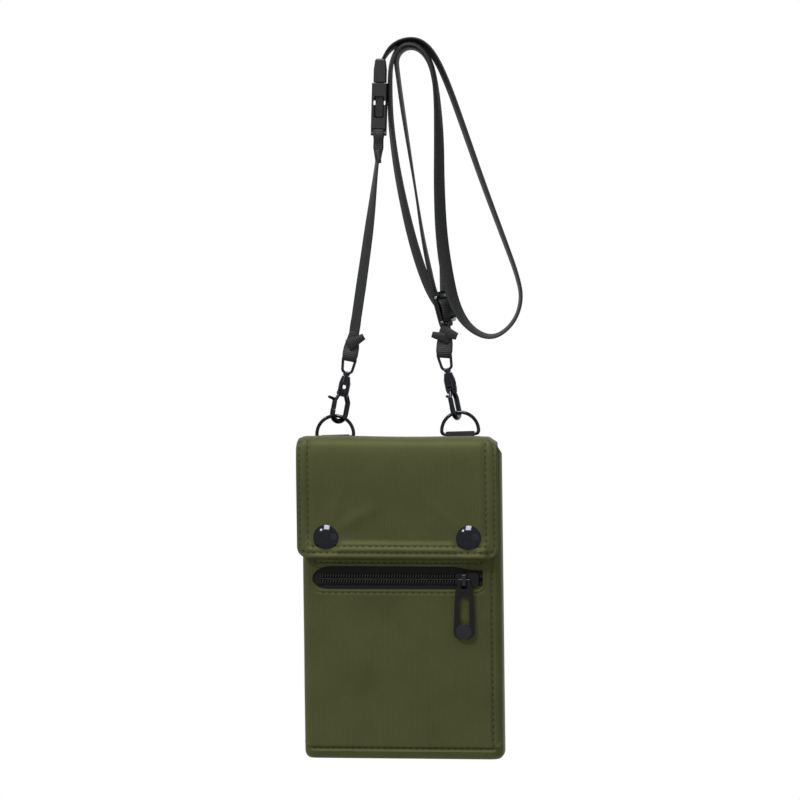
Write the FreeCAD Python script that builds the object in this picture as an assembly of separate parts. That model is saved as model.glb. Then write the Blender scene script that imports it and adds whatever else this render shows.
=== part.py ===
"""Hanging phone pouch: a soft zip-front pouch with a snap flap, on a narrow webbing neck strap.

Millimetres, +Z up, front towards -Y. The origin is the underside of the strap bundle, where a peg
holds it. The pouch hangs below on two D-rings, whose straight bars lie on the line Y = 0.
Pouch pieces are drawn in the pouch's own frame (origin at the middle of its bottom edge) and then
lowered by HANG_DROP.
"""
import FreeCAD
import Part
import math
import os

V = FreeCAD.Vector
X_AXIS = V(1, 0, 0)
Y_AXIS = V(0, 1, 0)
Z_AXIS = V(0, 0, 1)
OVER = 1.0                 # how far a cutting body reaches past what it cuts

# Pouch body
POUCH_X = -2.25            # pouch middle, beside the peg
HANG_TOP = 217.4           # from the peg down to the top of the flap
BODY_W = 112.0
BODY_H = 180.0             # bottom edge to the top of the flap
BODY_D = 18.0
BACK_GAP = 3.0             # from the ring bars forward to the back panel
CORNER_R = 5.0             # bottom corners, seen from the front
EDGE_R = 4.2               # soft roll round the front and back panels
WALL = 1.4                 # shell fabric with its foam
PANEL_ROLL = 6.0           # how far the front and back panels wrap round the sides
MOUTH_DROP = 8.0           # front edge of the mouth below the flap's top
LINING_T = 0.5
LINING_GAP = 0.1
POCKET_DEPTH = 3.0         # zip pocket, from the front panel to its bag
POCKET_SHEET = 0.4
POCKET_MARGIN_X = 7.0      # pocket bag inside the body's sides
POCKET_ABOVE_ZIP = 17.2
POCKET_BOTTOM = 14.0

# Flap
FRONT_SHIFT = -2.0         # flap, snaps and zip sit this far off the body's middle
FLAP_OVERHANG = 1.0        # flap wider than the body
FLAP_T = 2.2
FLAP_LINING_T = 0.6
FLAP_DROP = 67.3           # top of the flap to its lower edge
FLAP_CORNER_R = 6.5
FLAP_GAP = 2.6             # flap lining in front of the front panel
FOLD_R = 6.0               # outer radius of the flap's front fold
FOLD_DROP = 8.0            # front fold line below the flap's top
FOLD_CLEAR = 0.15          # running gap beyond the corner of the folding edge

# Press snaps
SNAP_INSET = 16.5          # snap centre from the flap's side
SNAP_RISE = 11.5           # snap centre above the flap's lower edge
CAP_D = 14.4
CAP_H = 3.2
CAP_RIM = 0.7
SOCKET_D = 11.5
SOCKET_T = 1.2
SOCKET_BORE_D = 5.0
SOCKET_WALL = 0.6
STUD_D = 4.2
STUD_NECK_D = 3.4
STUD_BASE_D = 10.0
STUD_BASE_T = 0.5
STUD_L = 3.6
POST_D = 2.4
POST_HEAD_D = 9.0
POST_HEAD_T = 0.6

# Zip
WINDOW_MARGIN = 17.0       # zip window shorter than the body is wide
WINDOW_H = 13.0
WINDOW_END_H = 9.2         # narrower right-hand end
WINDOW_TAPER = 11.0
WINDOW_END_R = 1.2
ZIP_BELOW_FLAP = 11.9      # middle of the chain below the flap's lower edge
TAPE_T = 0.6
TAPE_W = 13.0
TAPE_GAP = 2.4
TAPE_OVERLAP = 2.0         # tape beyond the window's ends
TOOTH_PITCH = 1.5
TOOTH_W = 0.55
TOOTH_T = 1.2
TOOTH_CROSS = 0.5          # how far a tooth reaches past the middle of the chain
SPINE_H = 1.5
STOP_L = 1.6
STOP_H = 2.0
STOP_WRAP = 0.4            # metal of a stop in front of the tape
SLIDER_L = 12.4
SLIDER_W = 8.2
SLIDER_NARROW = 7.0
SLIDER_T = 0.9
SLIDER_CLEAR = 0.25
SLIDER_FROM_END = 8.4      # slider middle to the window's right end
FLANGE_T = 0.6
NECK_W = 1.6
NECK_L = 3.6
NECK_FROM_MID = 1.2
BRIDGE_W = 2.2
BRIDGE_T = 1.0
BRIDGE_ROOM = 2.1
BRIDGE_INSET = 0.1
BOTTOM_STOP_FROM_END = 2.6
SLIDER_STOP_GAP = 0.4

# Zip pull
PULL_BAR_R = 0.75
PULL_SHIFT = -1.8          # pull's hanging place along the slider
PULL_TOP_W = 6.3
PULL_SHOULDER_W = 10.0
PULL_SHOULDER_DROP = 6.6
PULL_WEB_TOP = 5.0
PULL_WEB_LOW = 9.3
PULL_W = 11.6
PULL_LEG = 2.9
PULL_T = 1.5
PULL_L = 33.3
PULL_DISC_R = 4.4
PULL_DISC_T = 1.9

# D-rings and their tabs
RING_MARGIN = 41.3         # ring spacing less than the body's width
RINGS_SHIFT = -4.4         # middle of the two rings, off the pouch's middle
RING_TILT = 1.78           # degrees, right ring higher
RING_RISE = 0.5            # middle of the bar line above the flap's top
RING_WIRE_R = 1.0
RING_W = 20.8              # between wire middles
RING_H = 12.2              # bar to crown, between wire middles
RING_FOOT_R = 1.8
TAB_W = 16.0
TAB_T = 0.45
TAB_L = 15.0
TAB_DROP = 3.0             # bar down to where the tab meets the back panel
TAB_CLEAR = 0.1

# Swivel hooks
HOOK_LEAN = (10.7, -12.0)  # degrees, left and right
HOOK_YAW = (135.0, 165.0)  # turn about the hook's own axis
HOOK_SEAT_GAP = 0.4
HOOK_ROD_R = 1.5
HOOK_A = 4.75              # half width between rod middles
NOSE_H = 6.4               # where the gate meets the nose
SPINE_TOP = 11.0
BARREL_R = 3.3
BARREL_FOOT_R = 2.9
BARREL_TOP_R = 2.3
BARREL_LOW = 14.2
BARREL_HIGH = 25.8
BARREL_CAVITY_R = 2.1
CAVITY_LOW = 18.6
CAVITY_HIGH = 23.0
EYELET_W = 2.6             # see-through hole in the barrel
EYELET_H = 2.2
EYELET_TURN = (-45.0, 0.0) # degrees about the barrel, left and right
GATE_PIVOT = (-2.1, 16.0)  # across and up
GATE_R = 1.0
GATE_T = 2.2
GATE_BOSS_R = 1.6
GATE_GAP = 0.2
GATE_WIDE_R = 1.4          # gate below the barrel
GATE_CHEEK_GAP = 0.2
GATE_PIN_R = 0.5
GATE_PIN_CLEAR = 0.1
LEVER_L = 4.6
LEVER_UP = 13.0
LEVER_TIP_R = 0.8
SPRING_T = 0.35
SPRING_W = 1.0
SPRING_L = 5.4

# Swivel eyes
EYE_WIRE_R = 0.8
EYE_TOP_W = 7.4
EYE_FOOT_W = 5.2
EYE_H = 8.6
EYE_CORNER_R = 1.1
EYE_FOOT_R = 2.2
STEM_R = 1.2
STEM_CLEAR = 0.15
STEM_HEAD_R = 1.8
STEM_HEAD_T = 1.2
COLLAR_R = 1.9
COLLAR_T = 1.2
COLLAR_GAP = 0.25

# Webbing strap
STRAP_W = 8.0
STRAP_T = 1.2
FOLD_CLEARANCE = 0.2       # webbing round a bar
FOLD_W = 4.8               # webbing is gathered where it goes round an eye or a buckle bar
FOLD_L = 13.8
TAIL_L = 6.5
TAIL_TURN = 48.0           # degrees, raw tails stand off the fold
STRAP_END_GAP = 0.3

# Buckle: a pull-apart plug and socket
BUCKLE_X = -17.4
BUCKLE_Z = -47.0           # middle of the socket's strap bar
BUCKLE_LEAN = 1.5
BAR_R = 1.0
BUCKLE_W = 8.8
BUCKLE_T = 5.2
SOCKET_LOW = 2.8
SOCKET_HIGH = 28.2
SOCKET_EDGE_R = 1.2
SOCKET_ROOM_W = 6.6
SOCKET_ROOM_T = 2.6
BUCKLE_WINDOW_LOW = 8.4
BUCKLE_WINDOW_HIGH = 21.0
BUCKLE_WINDOW_W = 5.6
PEEP_LOW = 16.0            # see-through slots beside the tongue
PEEP_HIGH = 18.5
PEEP_W = 1.3
PEEP_CLEAR = 0.1
FOOT_W = 1.5
PLUG_TOP = 42.0
PLUG_W = 7.2
PLUG_TOP_W = 5.6
PLUG_SEAM = 0.2
TONGUE_W = 4.4
TONGUE_T = 2.0
TONGUE_LOW = 9.4
TONGUE_RAIL_W = 0.6
TONGUE_RAIL_STEP = 1.4
TONGUE_RIB_T = 0.8
PLUG_SLOT_T = 1.8
PLUG_SLOT_DEEP = 3.0
PLUG_SLOT_W = 4.0

# Slide adjuster
ADJ_X = 20.2
ADJ_Z = -145.2
ADJ_LEAN = -15.0
ADJ_TURN = 50.0            # degrees about its own length
ADJ_W = 11.0
ADJ_H = 16.4
ADJ_T = 1.7
ADJ_BAR = 1.7
ADJ_SIDE = 1.3
ADJ_CORNER_R = 1.6
ADJ_SLOT_R = 0.6

# Strap routes, across (X) and up (Z) from the peg, chosen by hand along the middle of the webbing
ROUTE_LEFT = [(-22.6, -100.1), (-18.6, -64.4)]
ROUTE_LONG = [
    (-15.9, -4.2), (-11.3, 3.4), (-2.4, 7.2), (8.0, 6.0), (16.8, -4.2), (23.6, -21.0),
    (31.2, -44.5), (41.5, -75.5), (53.2, -106.5), (61.0, -127.5), (63.4, -140.5), (58.8, -153.8),
    (47.3, -162.6), (34.8, -157.5), (26.0, -145.0), (21.2, -126.5), (18.0, -103.0),
    (16.7, -76.0), (16.3, -50.0), (14.9, -25.0), (12.2, -6.5), (5.2, 3.4), (-4.4, 3.6),
    (-10.3, -5.6), (-11.1, -20.5), (-10.4, -43.0), (-6.4, -71.5), (0.6, -103.0), (7.0, -124.0),
    (13.0, -139.2)]
ROUTE_LOOP = [
    (14.4, -137.2), (11.2, -123.5), (7.4, -105.0), (3.6, -80.0), (-0.6, -54.0), (-4.4, -30.0),
    (-6.6, -14.5), (-6.9, -4.0), (-1.6, 1.5), (4.6, 0.8), (9.4, -6.4), (11.6, -19.5),
    (12.9, -41.0), (13.4, -67.0), (14.0, -92.0), (15.6, -115.0), (18.2, -136.6)]

# Places worked out from the sizes above
HANG_DROP = HANG_TOP + BODY_H
FLAP_W = BODY_W + FLAP_OVERHANG
SNAP_SPACING = FLAP_W - 2 * SNAP_INSET
WINDOW_W = BODY_W - WINDOW_MARGIN
RING_SPACING = BODY_W - RING_MARGIN
RING_Z = BODY_H + RING_RISE
BACK_Y = -BACK_GAP
FRONT_Y = BACK_Y - BODY_D
MOUTH_Z = BODY_H - MOUTH_DROP
FLAP_BACK_Y = FRONT_Y - FLAP_GAP
FLAP_FRONT_Y = FLAP_BACK_Y - FLAP_T
FLAP_MID_Y = (FLAP_BACK_Y + FLAP_FRONT_Y) / 2
FLAP_UNDER_Z = BODY_H - FLAP_T
FLAP_LOW_Z = BODY_H - FLAP_DROP
HINGE_R = FLAP_T / 2
HINGE_CLEAR_R = HINGE_R * math.sqrt(2) + FOLD_CLEAR
BACK_HINGE = V(0, BACK_Y - HINGE_R, BODY_H - HINGE_R)
FRONT_HINGE = V(0, FLAP_MID_Y, BODY_H - FOLD_DROP)
SNAP_Z = FLAP_LOW_Z + SNAP_RISE
ZIP_Z = FLAP_LOW_Z - ZIP_BELOW_FLAP
POCKET_TOP = ZIP_Z + POCKET_ABOVE_ZIP
WINDOW_LEFT = FRONT_SHIFT - WINDOW_W / 2
WINDOW_RIGHT = FRONT_SHIFT + WINDOW_W / 2
TAPE_Y = FRONT_Y + WALL
SLIDER_X = WINDOW_RIGHT - SLIDER_FROM_END
SLIDER_FACE_Y = FRONT_Y - SLIDER_CLEAR
PULL_X = SLIDER_X + PULL_SHIFT
PULL_Y = SLIDER_FACE_Y - SLIDER_T - BRIDGE_ROOM / 2
RING_CENTRE = V(RINGS_SHIFT, 0, RING_Z)
SIDES = ("left", "right")
SIGNS = (-1, 1)


def box(x0, x1, y0, y1, z0, z1):
    return Part.makeBox(x1 - x0, y1 - y0, z1 - z0, V(x0, y0, z0))


def disc(radius, y0, y1, x, z):
    """A round along Y between two depths."""
    return Part.makeCylinder(radius, y1 - y0, V(x, y0, z), Y_AXIS)


def rod(start, end, radius):
    run = end.sub(start)
    return Part.makeCylinder(radius, run.Length, start, run)


def fuse_all(shapes):
    whole = shapes[0].fuse(shapes[1:]) if len(shapes) > 1 else shapes[0]
    return whole.removeSplitter()


def local_frame(origin, across, up):
    """Placement whose X is across and whose Z is up."""
    depth = up.cross(across)
    rows = FreeCAD.Matrix(
        across.x, depth.x, up.x, origin.x,
        across.y, depth.y, up.y, origin.y,
        across.z, depth.z, up.z, origin.z)
    return FreeCAD.Placement(rows)


def placed(shape, placement):
    moved = shape.copy()
    moved.Placement = placement.multiply(moved.Placement)
    return moved


def hung(shape):
    """From the pouch's own frame to the hanging frame."""
    return placed(shape, FreeCAD.Placement(V(POUCH_X, 0, -HANG_DROP), FreeCAD.Rotation()))


def turned(vector, axis, degrees):
    return FreeCAD.Rotation(axis, degrees).multVec(vector)


def rounded_path(points, radii, closed):
    """Straight runs joined by tangent arcs: ("line", a, b) and ("arc", a, b, centre, axis, degrees)."""
    count = len(points)
    corners = {}
    for i in range(count):
        open_end = not closed and i in (0, count - 1)
        if open_end or radii[i] == 0:
            continue
        here = points[i]
        come = here.sub(points[i - 1]).normalize()
        go = points[(i + 1) % count].sub(here).normalize()
        turn = come.getAngle(go)
        radius = radii[i]
        reach = radius * math.tan(turn / 2)
        axis = come.cross(go).normalize()
        start = here.sub(V(come).multiply(reach))
        end = here.add(V(go).multiply(reach))
        centre = start.add(axis.cross(come).multiply(radius))
        corners[i] = (start, end, centre, axis, math.degrees(turn))
    path = []
    for i in range(count):
        if i in corners:
            path.append(("arc",) + corners[i])
        follower = (i + 1) % count
        if follower == 0 and not closed:
            break
        a = corners[i][1] if i in corners else points[i]
        b = corners[follower][0] if follower in corners else points[follower]
        if a.distanceToPoint(b) > 1e-6:
            path.append(("line", a, b))
    return path


def round_bar(points, radii, bar_radius, closed=False):
    """A round bar bent along straight runs and tangent arcs."""
    pieces = []
    for step in rounded_path(points, radii, closed):
        if step[0] == "line":
            pieces.append(rod(step[1], step[2], bar_radius))
            continue
        start, _, centre, axis, degrees = step[1:]
        along = axis.cross(start.sub(centre))
        ring = Part.Wire(Part.makeCircle(bar_radius, start, along))
        pieces.append(Part.Face(ring).revolve(centre, axis, degrees))
    return fuse_all(pieces)


def outline_face(points, radii, y):
    """Closed outline of (across, up) corners with rounded corners, flat at one depth."""
    corners = [V(x, y, z) for x, z in points]
    edges = []
    for step in rounded_path(corners, radii, True):
        if step[0] == "line":
            edges.append(Part.LineSegment(step[1], step[2]).toShape())
            continue
        start, end, centre, axis, degrees = step[1:]
        middle = centre.add(turned(start.sub(centre), axis, degrees / 2))
        edges.append(Part.Arc(start, middle, end).toShape())
    return Part.Face(Part.Wire(edges))


def plate(points, radii, y0, y1):
    return outline_face(points, radii, y0).extrude(V(0, y1 - y0, 0))


def soft_box(x0, x1, y0, y1, z0, z1, corner_r, edge_r):
    """Box with round lower corners and rolled front and back edges; its top is left square."""
    body = plate([(x0, z0), (x1, z0), (x1, z1), (x0, z1)], [corner_r, corner_r, 0, 0], y0, y1)
    rolled = []
    for edge in body.Edges:
        ys = [vertex.Y for vertex in edge.Vertexes]
        zs = [vertex.Z for vertex in edge.Vertexes]
        across_depth = max(ys) - min(ys) > 1e-6
        on_top = min(zs) > z1 - 1e-6
        if not across_depth and not on_top:
            rolled.append(edge)
    return body.makeFillet(edge_r, rolled)


def save(name, shape):
    shape.exportStep("parts/%s.step" % name)
    print("%-22s solids %d volume %.1f" % (name, len(shape.Solids), shape.Volume))


# Pouch body

def window_face(grow, y):
    """Zip window: round at the left, squarer and narrower at the right."""
    left = WINDOW_LEFT - grow
    right = WINDOW_RIGHT + grow
    half = WINDOW_H / 2 + grow
    end = WINDOW_END_H / 2 + grow
    shoulder = right - WINDOW_TAPER
    corners = [(left, ZIP_Z - half), (shoulder, ZIP_Z - half), (right, ZIP_Z - end),
               (right, ZIP_Z + end), (shoulder, ZIP_Z + half), (left, ZIP_Z + half)]
    round_end = half * 0.98
    return outline_face(corners, [round_end, WINDOW_END_R, WINDOW_END_R, WINDOW_END_R,
                                  WINDOW_END_R, round_end], y)


def body_shells():
    """The shell fabric as one hollow, before it is cut into its sewn panels."""
    half = BODY_W / 2
    tall = BODY_H + 2 * MOUTH_DROP
    outer = soft_box(-half, half, FRONT_Y, BACK_Y, 0, tall, CORNER_R, EDGE_R)
    inner = soft_box(-half + WALL, half - WALL, FRONT_Y + WALL, BACK_Y - WALL, WALL, tall + OVER,
                     CORNER_R - WALL, EDGE_R - WALL)
    return outer.cut(inner)


def slab(y0, y1, top):
    half = BODY_W / 2 + OVER
    return box(-half, half, y0, y1, -OVER, top)


def make_front_panel(shell):
    panel = shell.common(slab(FRONT_Y - OVER, FRONT_Y + PANEL_ROLL, MOUTH_Z))
    window = window_face(0, FRONT_Y - OVER).extrude(V(0, WALL + 2 * OVER, 0))
    panel = panel.cut(window)
    for x in snap_places():
        panel = panel.cut(disc(POST_D / 2, FRONT_Y - OVER, FRONT_Y + WALL + OVER, x, SNAP_Z))
    return panel


def make_gusset(shell):
    return shell.common(slab(FRONT_Y + PANEL_ROLL, BACK_Y - PANEL_ROLL, MOUTH_Z))


def make_back_panel(shell):
    tray = shell.common(slab(BACK_Y - PANEL_ROLL, BACK_Y + OVER, FLAP_UNDER_Z - FOLD_CLEAR))
    half = BODY_W / 2 - EDGE_R
    riser = box(-half, half, BACK_Y - WALL, BACK_Y, MOUTH_Z, BACK_HINGE.z)
    roll = rod(BACK_HINGE.add(V(-half, 0, 0)), BACK_HINGE.add(V(half, 0, 0)), HINGE_R)
    return fuse_all([tray, riser, roll])


def make_lining():
    """Inner bag, open at the top, in front of the back panel and behind the zip pocket."""
    inset = WALL + LINING_GAP
    half = BODY_W / 2 - inset
    front = FRONT_Y + WALL + POCKET_DEPTH + POCKET_SHEET + LINING_GAP
    back = BACK_Y - inset
    round_r = CORNER_R - inset
    edge_r = EDGE_R - WALL
    outer = soft_box(-half, half, front, back, inset, MOUTH_Z, round_r, edge_r)
    inner = soft_box(-half + LINING_T, half - LINING_T, front + LINING_T, back - LINING_T,
                     inset + LINING_T, MOUTH_Z + OVER, round_r - LINING_T, edge_r - LINING_T)
    return outer.cut(inner)


def make_pocket_bag():
    """Flat bag of the zip pocket, sewn to the backs of the zip tapes."""
    half = BODY_W / 2 - POCKET_MARGIN_X
    corners = [(-half, POCKET_BOTTOM), (half, POCKET_BOTTOM), (half, POCKET_TOP), (-half, POCKET_TOP)]
    rim_front = TAPE_Y + TAPE_T
    bag_back = TAPE_Y + POCKET_DEPTH + POCKET_SHEET
    outer = plate(corners, [CORNER_R] * 4, rim_front, bag_back)
    inset = POCKET_SHEET
    inner_corners = [(-half + inset, POCKET_BOTTOM + inset), (half - inset, POCKET_BOTTOM + inset),
                     (half - inset, POCKET_TOP - inset), (-half + inset, POCKET_TOP - inset)]
    inner = plate(inner_corners, [CORNER_R - inset] * 4, rim_front - OVER, TAPE_Y + POCKET_DEPTH)
    return outer.cut(inner)


# Flap

def flap_sides():
    return FRONT_SHIFT - FLAP_W / 2, FRONT_SHIFT + FLAP_W / 2


def make_flap_bridge():
    """Top of the flap: from the back fold over the mouth and round the soft front fold."""
    left, right = flap_sides()
    inner_r = FOLD_R - FLAP_T
    outer = [V(left, BACK_HINGE.y, BODY_H), V(left, FLAP_FRONT_Y, BODY_H),
             V(left, FLAP_FRONT_Y, FRONT_HINGE.z), V(left, FLAP_BACK_Y, FRONT_HINGE.z),
             V(left, FLAP_BACK_Y, FLAP_UNDER_Z), V(left, BACK_HINGE.y, FLAP_UNDER_Z)]
    edges = []
    for step in rounded_path(outer, [0, FOLD_R, 0, 0, inner_r, 0], True):
        if step[0] == "line":
            edges.append(Part.LineSegment(step[1], step[2]).toShape())
            continue
        start, end, centre, axis, degrees = step[1:]
        middle = centre.add(turned(start.sub(centre), axis, degrees / 2))
        edges.append(Part.Arc(start, middle, end).toShape())
    sheet = Part.Face(Part.Wire(edges)).extrude(V(right - left, 0, 0))
    reach = V(FLAP_W, 0, 0)
    roll = rod(V(left, FRONT_HINGE.y, FRONT_HINGE.z), V(right, FRONT_HINGE.y, FRONT_HINGE.z), HINGE_R)
    back_room = rod(BACK_HINGE.sub(reach), BACK_HINGE.add(reach), HINGE_CLEAR_R)
    return fuse_all([sheet.cut(back_room), roll])


def flap_layer(y0, y1):
    left, right = flap_sides()
    corners = [(left, FLAP_LOW_Z), (right, FLAP_LOW_Z), (right, FRONT_HINGE.z), (left, FRONT_HINGE.z)]
    layer = plate(corners, [FLAP_CORNER_R, FLAP_CORNER_R, 0, 0], y0, y1)
    reach = V(FLAP_W, 0, 0)
    layer = layer.cut(rod(FRONT_HINGE.sub(reach), FRONT_HINGE.add(reach), HINGE_CLEAR_R))
    for x in snap_places():
        layer = layer.cut(disc(SOCKET_BORE_D / 2 + SOCKET_WALL, y0 - OVER, y1 + OVER, x, SNAP_Z))
    return layer


def make_flap_panel():
    return flap_layer(FLAP_FRONT_Y, FLAP_BACK_Y - FLAP_LINING_T)


def make_flap_lining():
    return flap_layer(FLAP_BACK_Y - FLAP_LINING_T, FLAP_BACK_Y)


# Press snaps

def snap_places():
    return [FRONT_SHIFT + sign * SNAP_SPACING / 2 for sign in SIGNS]


def make_snap_cap(x):
    """Domed cap with a rolled rim on the outside of the flap."""
    rim = disc(CAP_D / 2, FLAP_FRONT_Y - CAP_RIM, FLAP_FRONT_Y, x, SNAP_Z)
    rise = CAP_H - CAP_RIM
    dome_r = (CAP_D * CAP_D / 4 + rise * rise) / (2 * rise)
    centre_y = FLAP_FRONT_Y - CAP_H + dome_r
    ball = Part.makeSphere(dome_r, V(x, centre_y, SNAP_Z))
    crown = ball.common(disc(CAP_D / 2, FLAP_FRONT_Y - CAP_H - OVER, FLAP_FRONT_Y - CAP_RIM, x, SNAP_Z))
    return fuse_all([rim, crown])


def make_snap_socket(x):
    """Socket ring inside the flap, with the barrel that goes through to the cap."""
    bore = SOCKET_BORE_D / 2
    ring = disc(SOCKET_D / 2, FLAP_BACK_Y, FLAP_BACK_Y + SOCKET_T, x, SNAP_Z)
    barrel = disc(bore + SOCKET_WALL, FLAP_FRONT_Y, FLAP_BACK_Y, x, SNAP_Z)
    hole = disc(bore, FLAP_FRONT_Y - OVER, FLAP_BACK_Y + SOCKET_T + OVER, x, SNAP_Z)
    return fuse_all([ring, barrel]).cut(hole)


def make_snap_stud(x):
    """Stud on the front panel: a flat base and a waisted knob, on the post that rivets it."""
    base = disc(STUD_BASE_D / 2, FRONT_Y - STUD_BASE_T, FRONT_Y, x, SNAP_Z)
    tip = FRONT_Y - STUD_L
    neck = disc(STUD_NECK_D / 2, tip, FRONT_Y, x, SNAP_Z)
    knob = disc(STUD_D / 2, tip, tip + STUD_L / 3, x, SNAP_Z)
    return fuse_all([base, neck, knob])


def make_snap_post(x):
    """Flat-headed rivet behind the front panel, through it into the stud."""
    head = disc(POST_HEAD_D / 2, FRONT_Y + WALL, FRONT_Y + WALL + POST_HEAD_T, x, SNAP_Z)
    shank = disc(POST_D / 2, FRONT_Y, FRONT_Y + WALL, x, SNAP_Z)
    return fuse_all([head, shank])


# Zip

def make_zip_tape(side):
    """Upper (1) or lower (-1) tape behind the window."""
    near = ZIP_Z + side * TAPE_GAP / 2
    far = near + side * TAPE_W
    return box(WINDOW_LEFT - TAPE_OVERLAP, WINDOW_RIGHT + TAPE_OVERLAP, TAPE_Y, TAPE_Y + TAPE_T,
               min(near, far), max(near, far))


def teeth_span():
    return WINDOW_LEFT + BOTTOM_STOP_FROM_END + STOP_L, SLIDER_X + NECK_FROM_MID - TOOTH_PITCH / 2


def make_zip_teeth(side):
    """One row: teeth on their cord, alternating with the other row's."""
    start, end = teeth_span()
    front = TAPE_Y - TOOTH_T
    near = ZIP_Z + side * TAPE_GAP / 2
    far = near + side * SPINE_H
    row = box(start, end, front, TAPE_Y, min(near, far), max(near, far))
    tip = ZIP_Z - side * TOOTH_CROSS
    phase = 0.25 if side > 0 else 0.75
    count = int((end - start) / TOOTH_PITCH)
    teeth = []
    for i in range(count):
        middle = start + (i + phase) * TOOTH_PITCH
        teeth.append(box(middle - TOOTH_W / 2, middle + TOOTH_W / 2, front, TAPE_Y,
                         min(tip, near), max(tip, near)))
    return fuse_all([row] + teeth)


def zip_stop(x, side):
    """Small clamped stop over the inner edge of one tape."""
    near = ZIP_Z + side * TAPE_GAP / 2
    far = near + side * STOP_H
    return box(x, x + STOP_L, TAPE_Y - TOOTH_T + STOP_WRAP, TAPE_Y, min(near, far), max(near, far))


def make_zip_top_stops():
    x = SLIDER_X + SLIDER_L / 2 + SLIDER_STOP_GAP
    return Part.makeCompound([zip_stop(x, side) for side in SIGNS])


def make_zip_bottom_stop():
    """One clamp across both tapes at the left end."""
    x = WINDOW_LEFT + BOTTOM_STOP_FROM_END
    half = TAPE_GAP / 2 + STOP_H
    return box(x, x + STOP_L, TAPE_Y - TOOTH_T + STOP_WRAP, TAPE_Y, ZIP_Z - half, ZIP_Z + half)


def slider_plate(y0, y1):
    """Y-shaped plate: narrow where the closed chain leaves, wide at the parting end."""
    left = SLIDER_X - SLIDER_L / 2
    right = SLIDER_X + SLIDER_L / 2
    narrow = SLIDER_NARROW / 2
    wide = SLIDER_W / 2
    corners = [(left, ZIP_Z - narrow), (SLIDER_X, ZIP_Z - narrow), (right, ZIP_Z - wide),
               (right, ZIP_Z + wide), (SLIDER_X, ZIP_Z + narrow), (left, ZIP_Z + narrow)]
    return plate(corners, [1.2, 3.0, 1.6, 1.6, 3.0, 1.2], y0, y1)


def make_zip_slider():
    """Two plates on a parting neck, edge flanges, and the bridge that holds the pull."""
    top_back = SLIDER_FACE_Y
    top_front = top_back - SLIDER_T
    low_front = TAPE_Y + TAPE_T + SLIDER_CLEAR
    top = slider_plate(top_front, top_back)
    low = slider_plate(low_front, low_front + SLIDER_T)
    neck_x = SLIDER_X + NECK_FROM_MID
    neck = plate([(neck_x, ZIP_Z - NECK_W / 2), (neck_x + NECK_L, ZIP_Z - NECK_W / 2),
                  (neck_x + NECK_L, ZIP_Z + NECK_W / 2), (neck_x, ZIP_Z + NECK_W / 2)],
                 [NECK_W * 0.4] * 4, top_back, low_front)
    flange_back = TAPE_Y - SLIDER_CLEAR
    rim = slider_plate(top_back, flange_back)
    room = WINDOW_W
    flanges = rim.cut(box(SLIDER_X - room, SLIDER_X + room, top_back - OVER, flange_back + OVER,
                          ZIP_Z - SLIDER_NARROW / 2 + FLANGE_T, ZIP_Z + SLIDER_NARROW / 2 - FLANGE_T))
    arch_half = SLIDER_NARROW / 2 - BRIDGE_INSET
    arch_front = top_front - BRIDGE_ROOM - BRIDGE_T
    half_w = BRIDGE_W / 2
    arch = box(PULL_X - half_w, PULL_X + half_w, arch_front, top_front,
               ZIP_Z - arch_half, ZIP_Z + arch_half)
    rounded = [edge for edge in arch.Edges
               if abs(edge.Vertexes[0].Z - edge.Vertexes[1].Z) < 1e-6
               and max(vertex.Y for vertex in edge.Vertexes) < arch_front + 1e-6]
    arch = arch.makeFillet(BRIDGE_T, rounded)
    opening = box(PULL_X - BRIDGE_W, PULL_X + BRIDGE_W, arch_front + BRIDGE_T, top_front,
                  ZIP_Z - arch_half + BRIDGE_T, ZIP_Z + arch_half - BRIDGE_T)
    return fuse_all([top, low, neck, flanges, arch.cut(opening)])


def make_zip_pull():
    """Cast pull: a round bar under the bridge, a web below it, two legs and a disc at the end."""
    half = PULL_W / 2
    top_half = PULL_TOP_W / 2
    shoulder_half = PULL_SHOULDER_W / 2
    low = ZIP_Z - PULL_L
    disc_z = low + PULL_DISC_R
    y0 = PULL_Y - PULL_T / 2
    y1 = PULL_Y + PULL_T / 2
    shoulder = ZIP_Z - PULL_SHOULDER_DROP
    corners = [(PULL_X - top_half, ZIP_Z), (PULL_X - shoulder_half, shoulder), (PULL_X - half, disc_z),
               (PULL_X - half, low), (PULL_X + half, low), (PULL_X + half, disc_z),
               (PULL_X + shoulder_half, shoulder), (PULL_X + top_half, ZIP_Z)]
    round_low = PULL_DISC_R * 0.96
    outer = plate(corners, [0, 2.5, 0, round_low, round_low, 0, 2.5, 0], y0, y1)
    link_half = top_half - 2 * PULL_BAR_R
    link_low = ZIP_Z - PULL_WEB_TOP
    link = plate([(PULL_X - link_half, ZIP_Z + OVER), (PULL_X - link_half, link_low),
                  (PULL_X + link_half, link_low), (PULL_X + link_half, ZIP_Z + OVER)],
                 [0, 0.8, 0.8, 0], y0 - OVER, y1 + OVER)
    hole_top = ZIP_Z - PULL_WEB_LOW
    hole_half = half - PULL_LEG
    hole_low = disc_z + PULL_DISC_R * 0.4
    hole = plate([(PULL_X - hole_half, hole_top), (PULL_X - hole_half, hole_low),
                  (PULL_X + hole_half, hole_low), (PULL_X + hole_half, hole_top)],
                 [1.0, 1.0, 1.0, 1.0], y0 - OVER, y1 + OVER)
    bar = rod(V(PULL_X - top_half, PULL_Y, ZIP_Z), V(PULL_X + top_half, PULL_Y, ZIP_Z), PULL_BAR_R)
    end = disc(PULL_DISC_R, PULL_Y - PULL_DISC_T / 2, PULL_Y + PULL_DISC_T / 2, PULL_X, disc_z)
    return fuse_all([outer.cut(link).cut(hole), bar, end])


# D-rings and tabs

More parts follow.
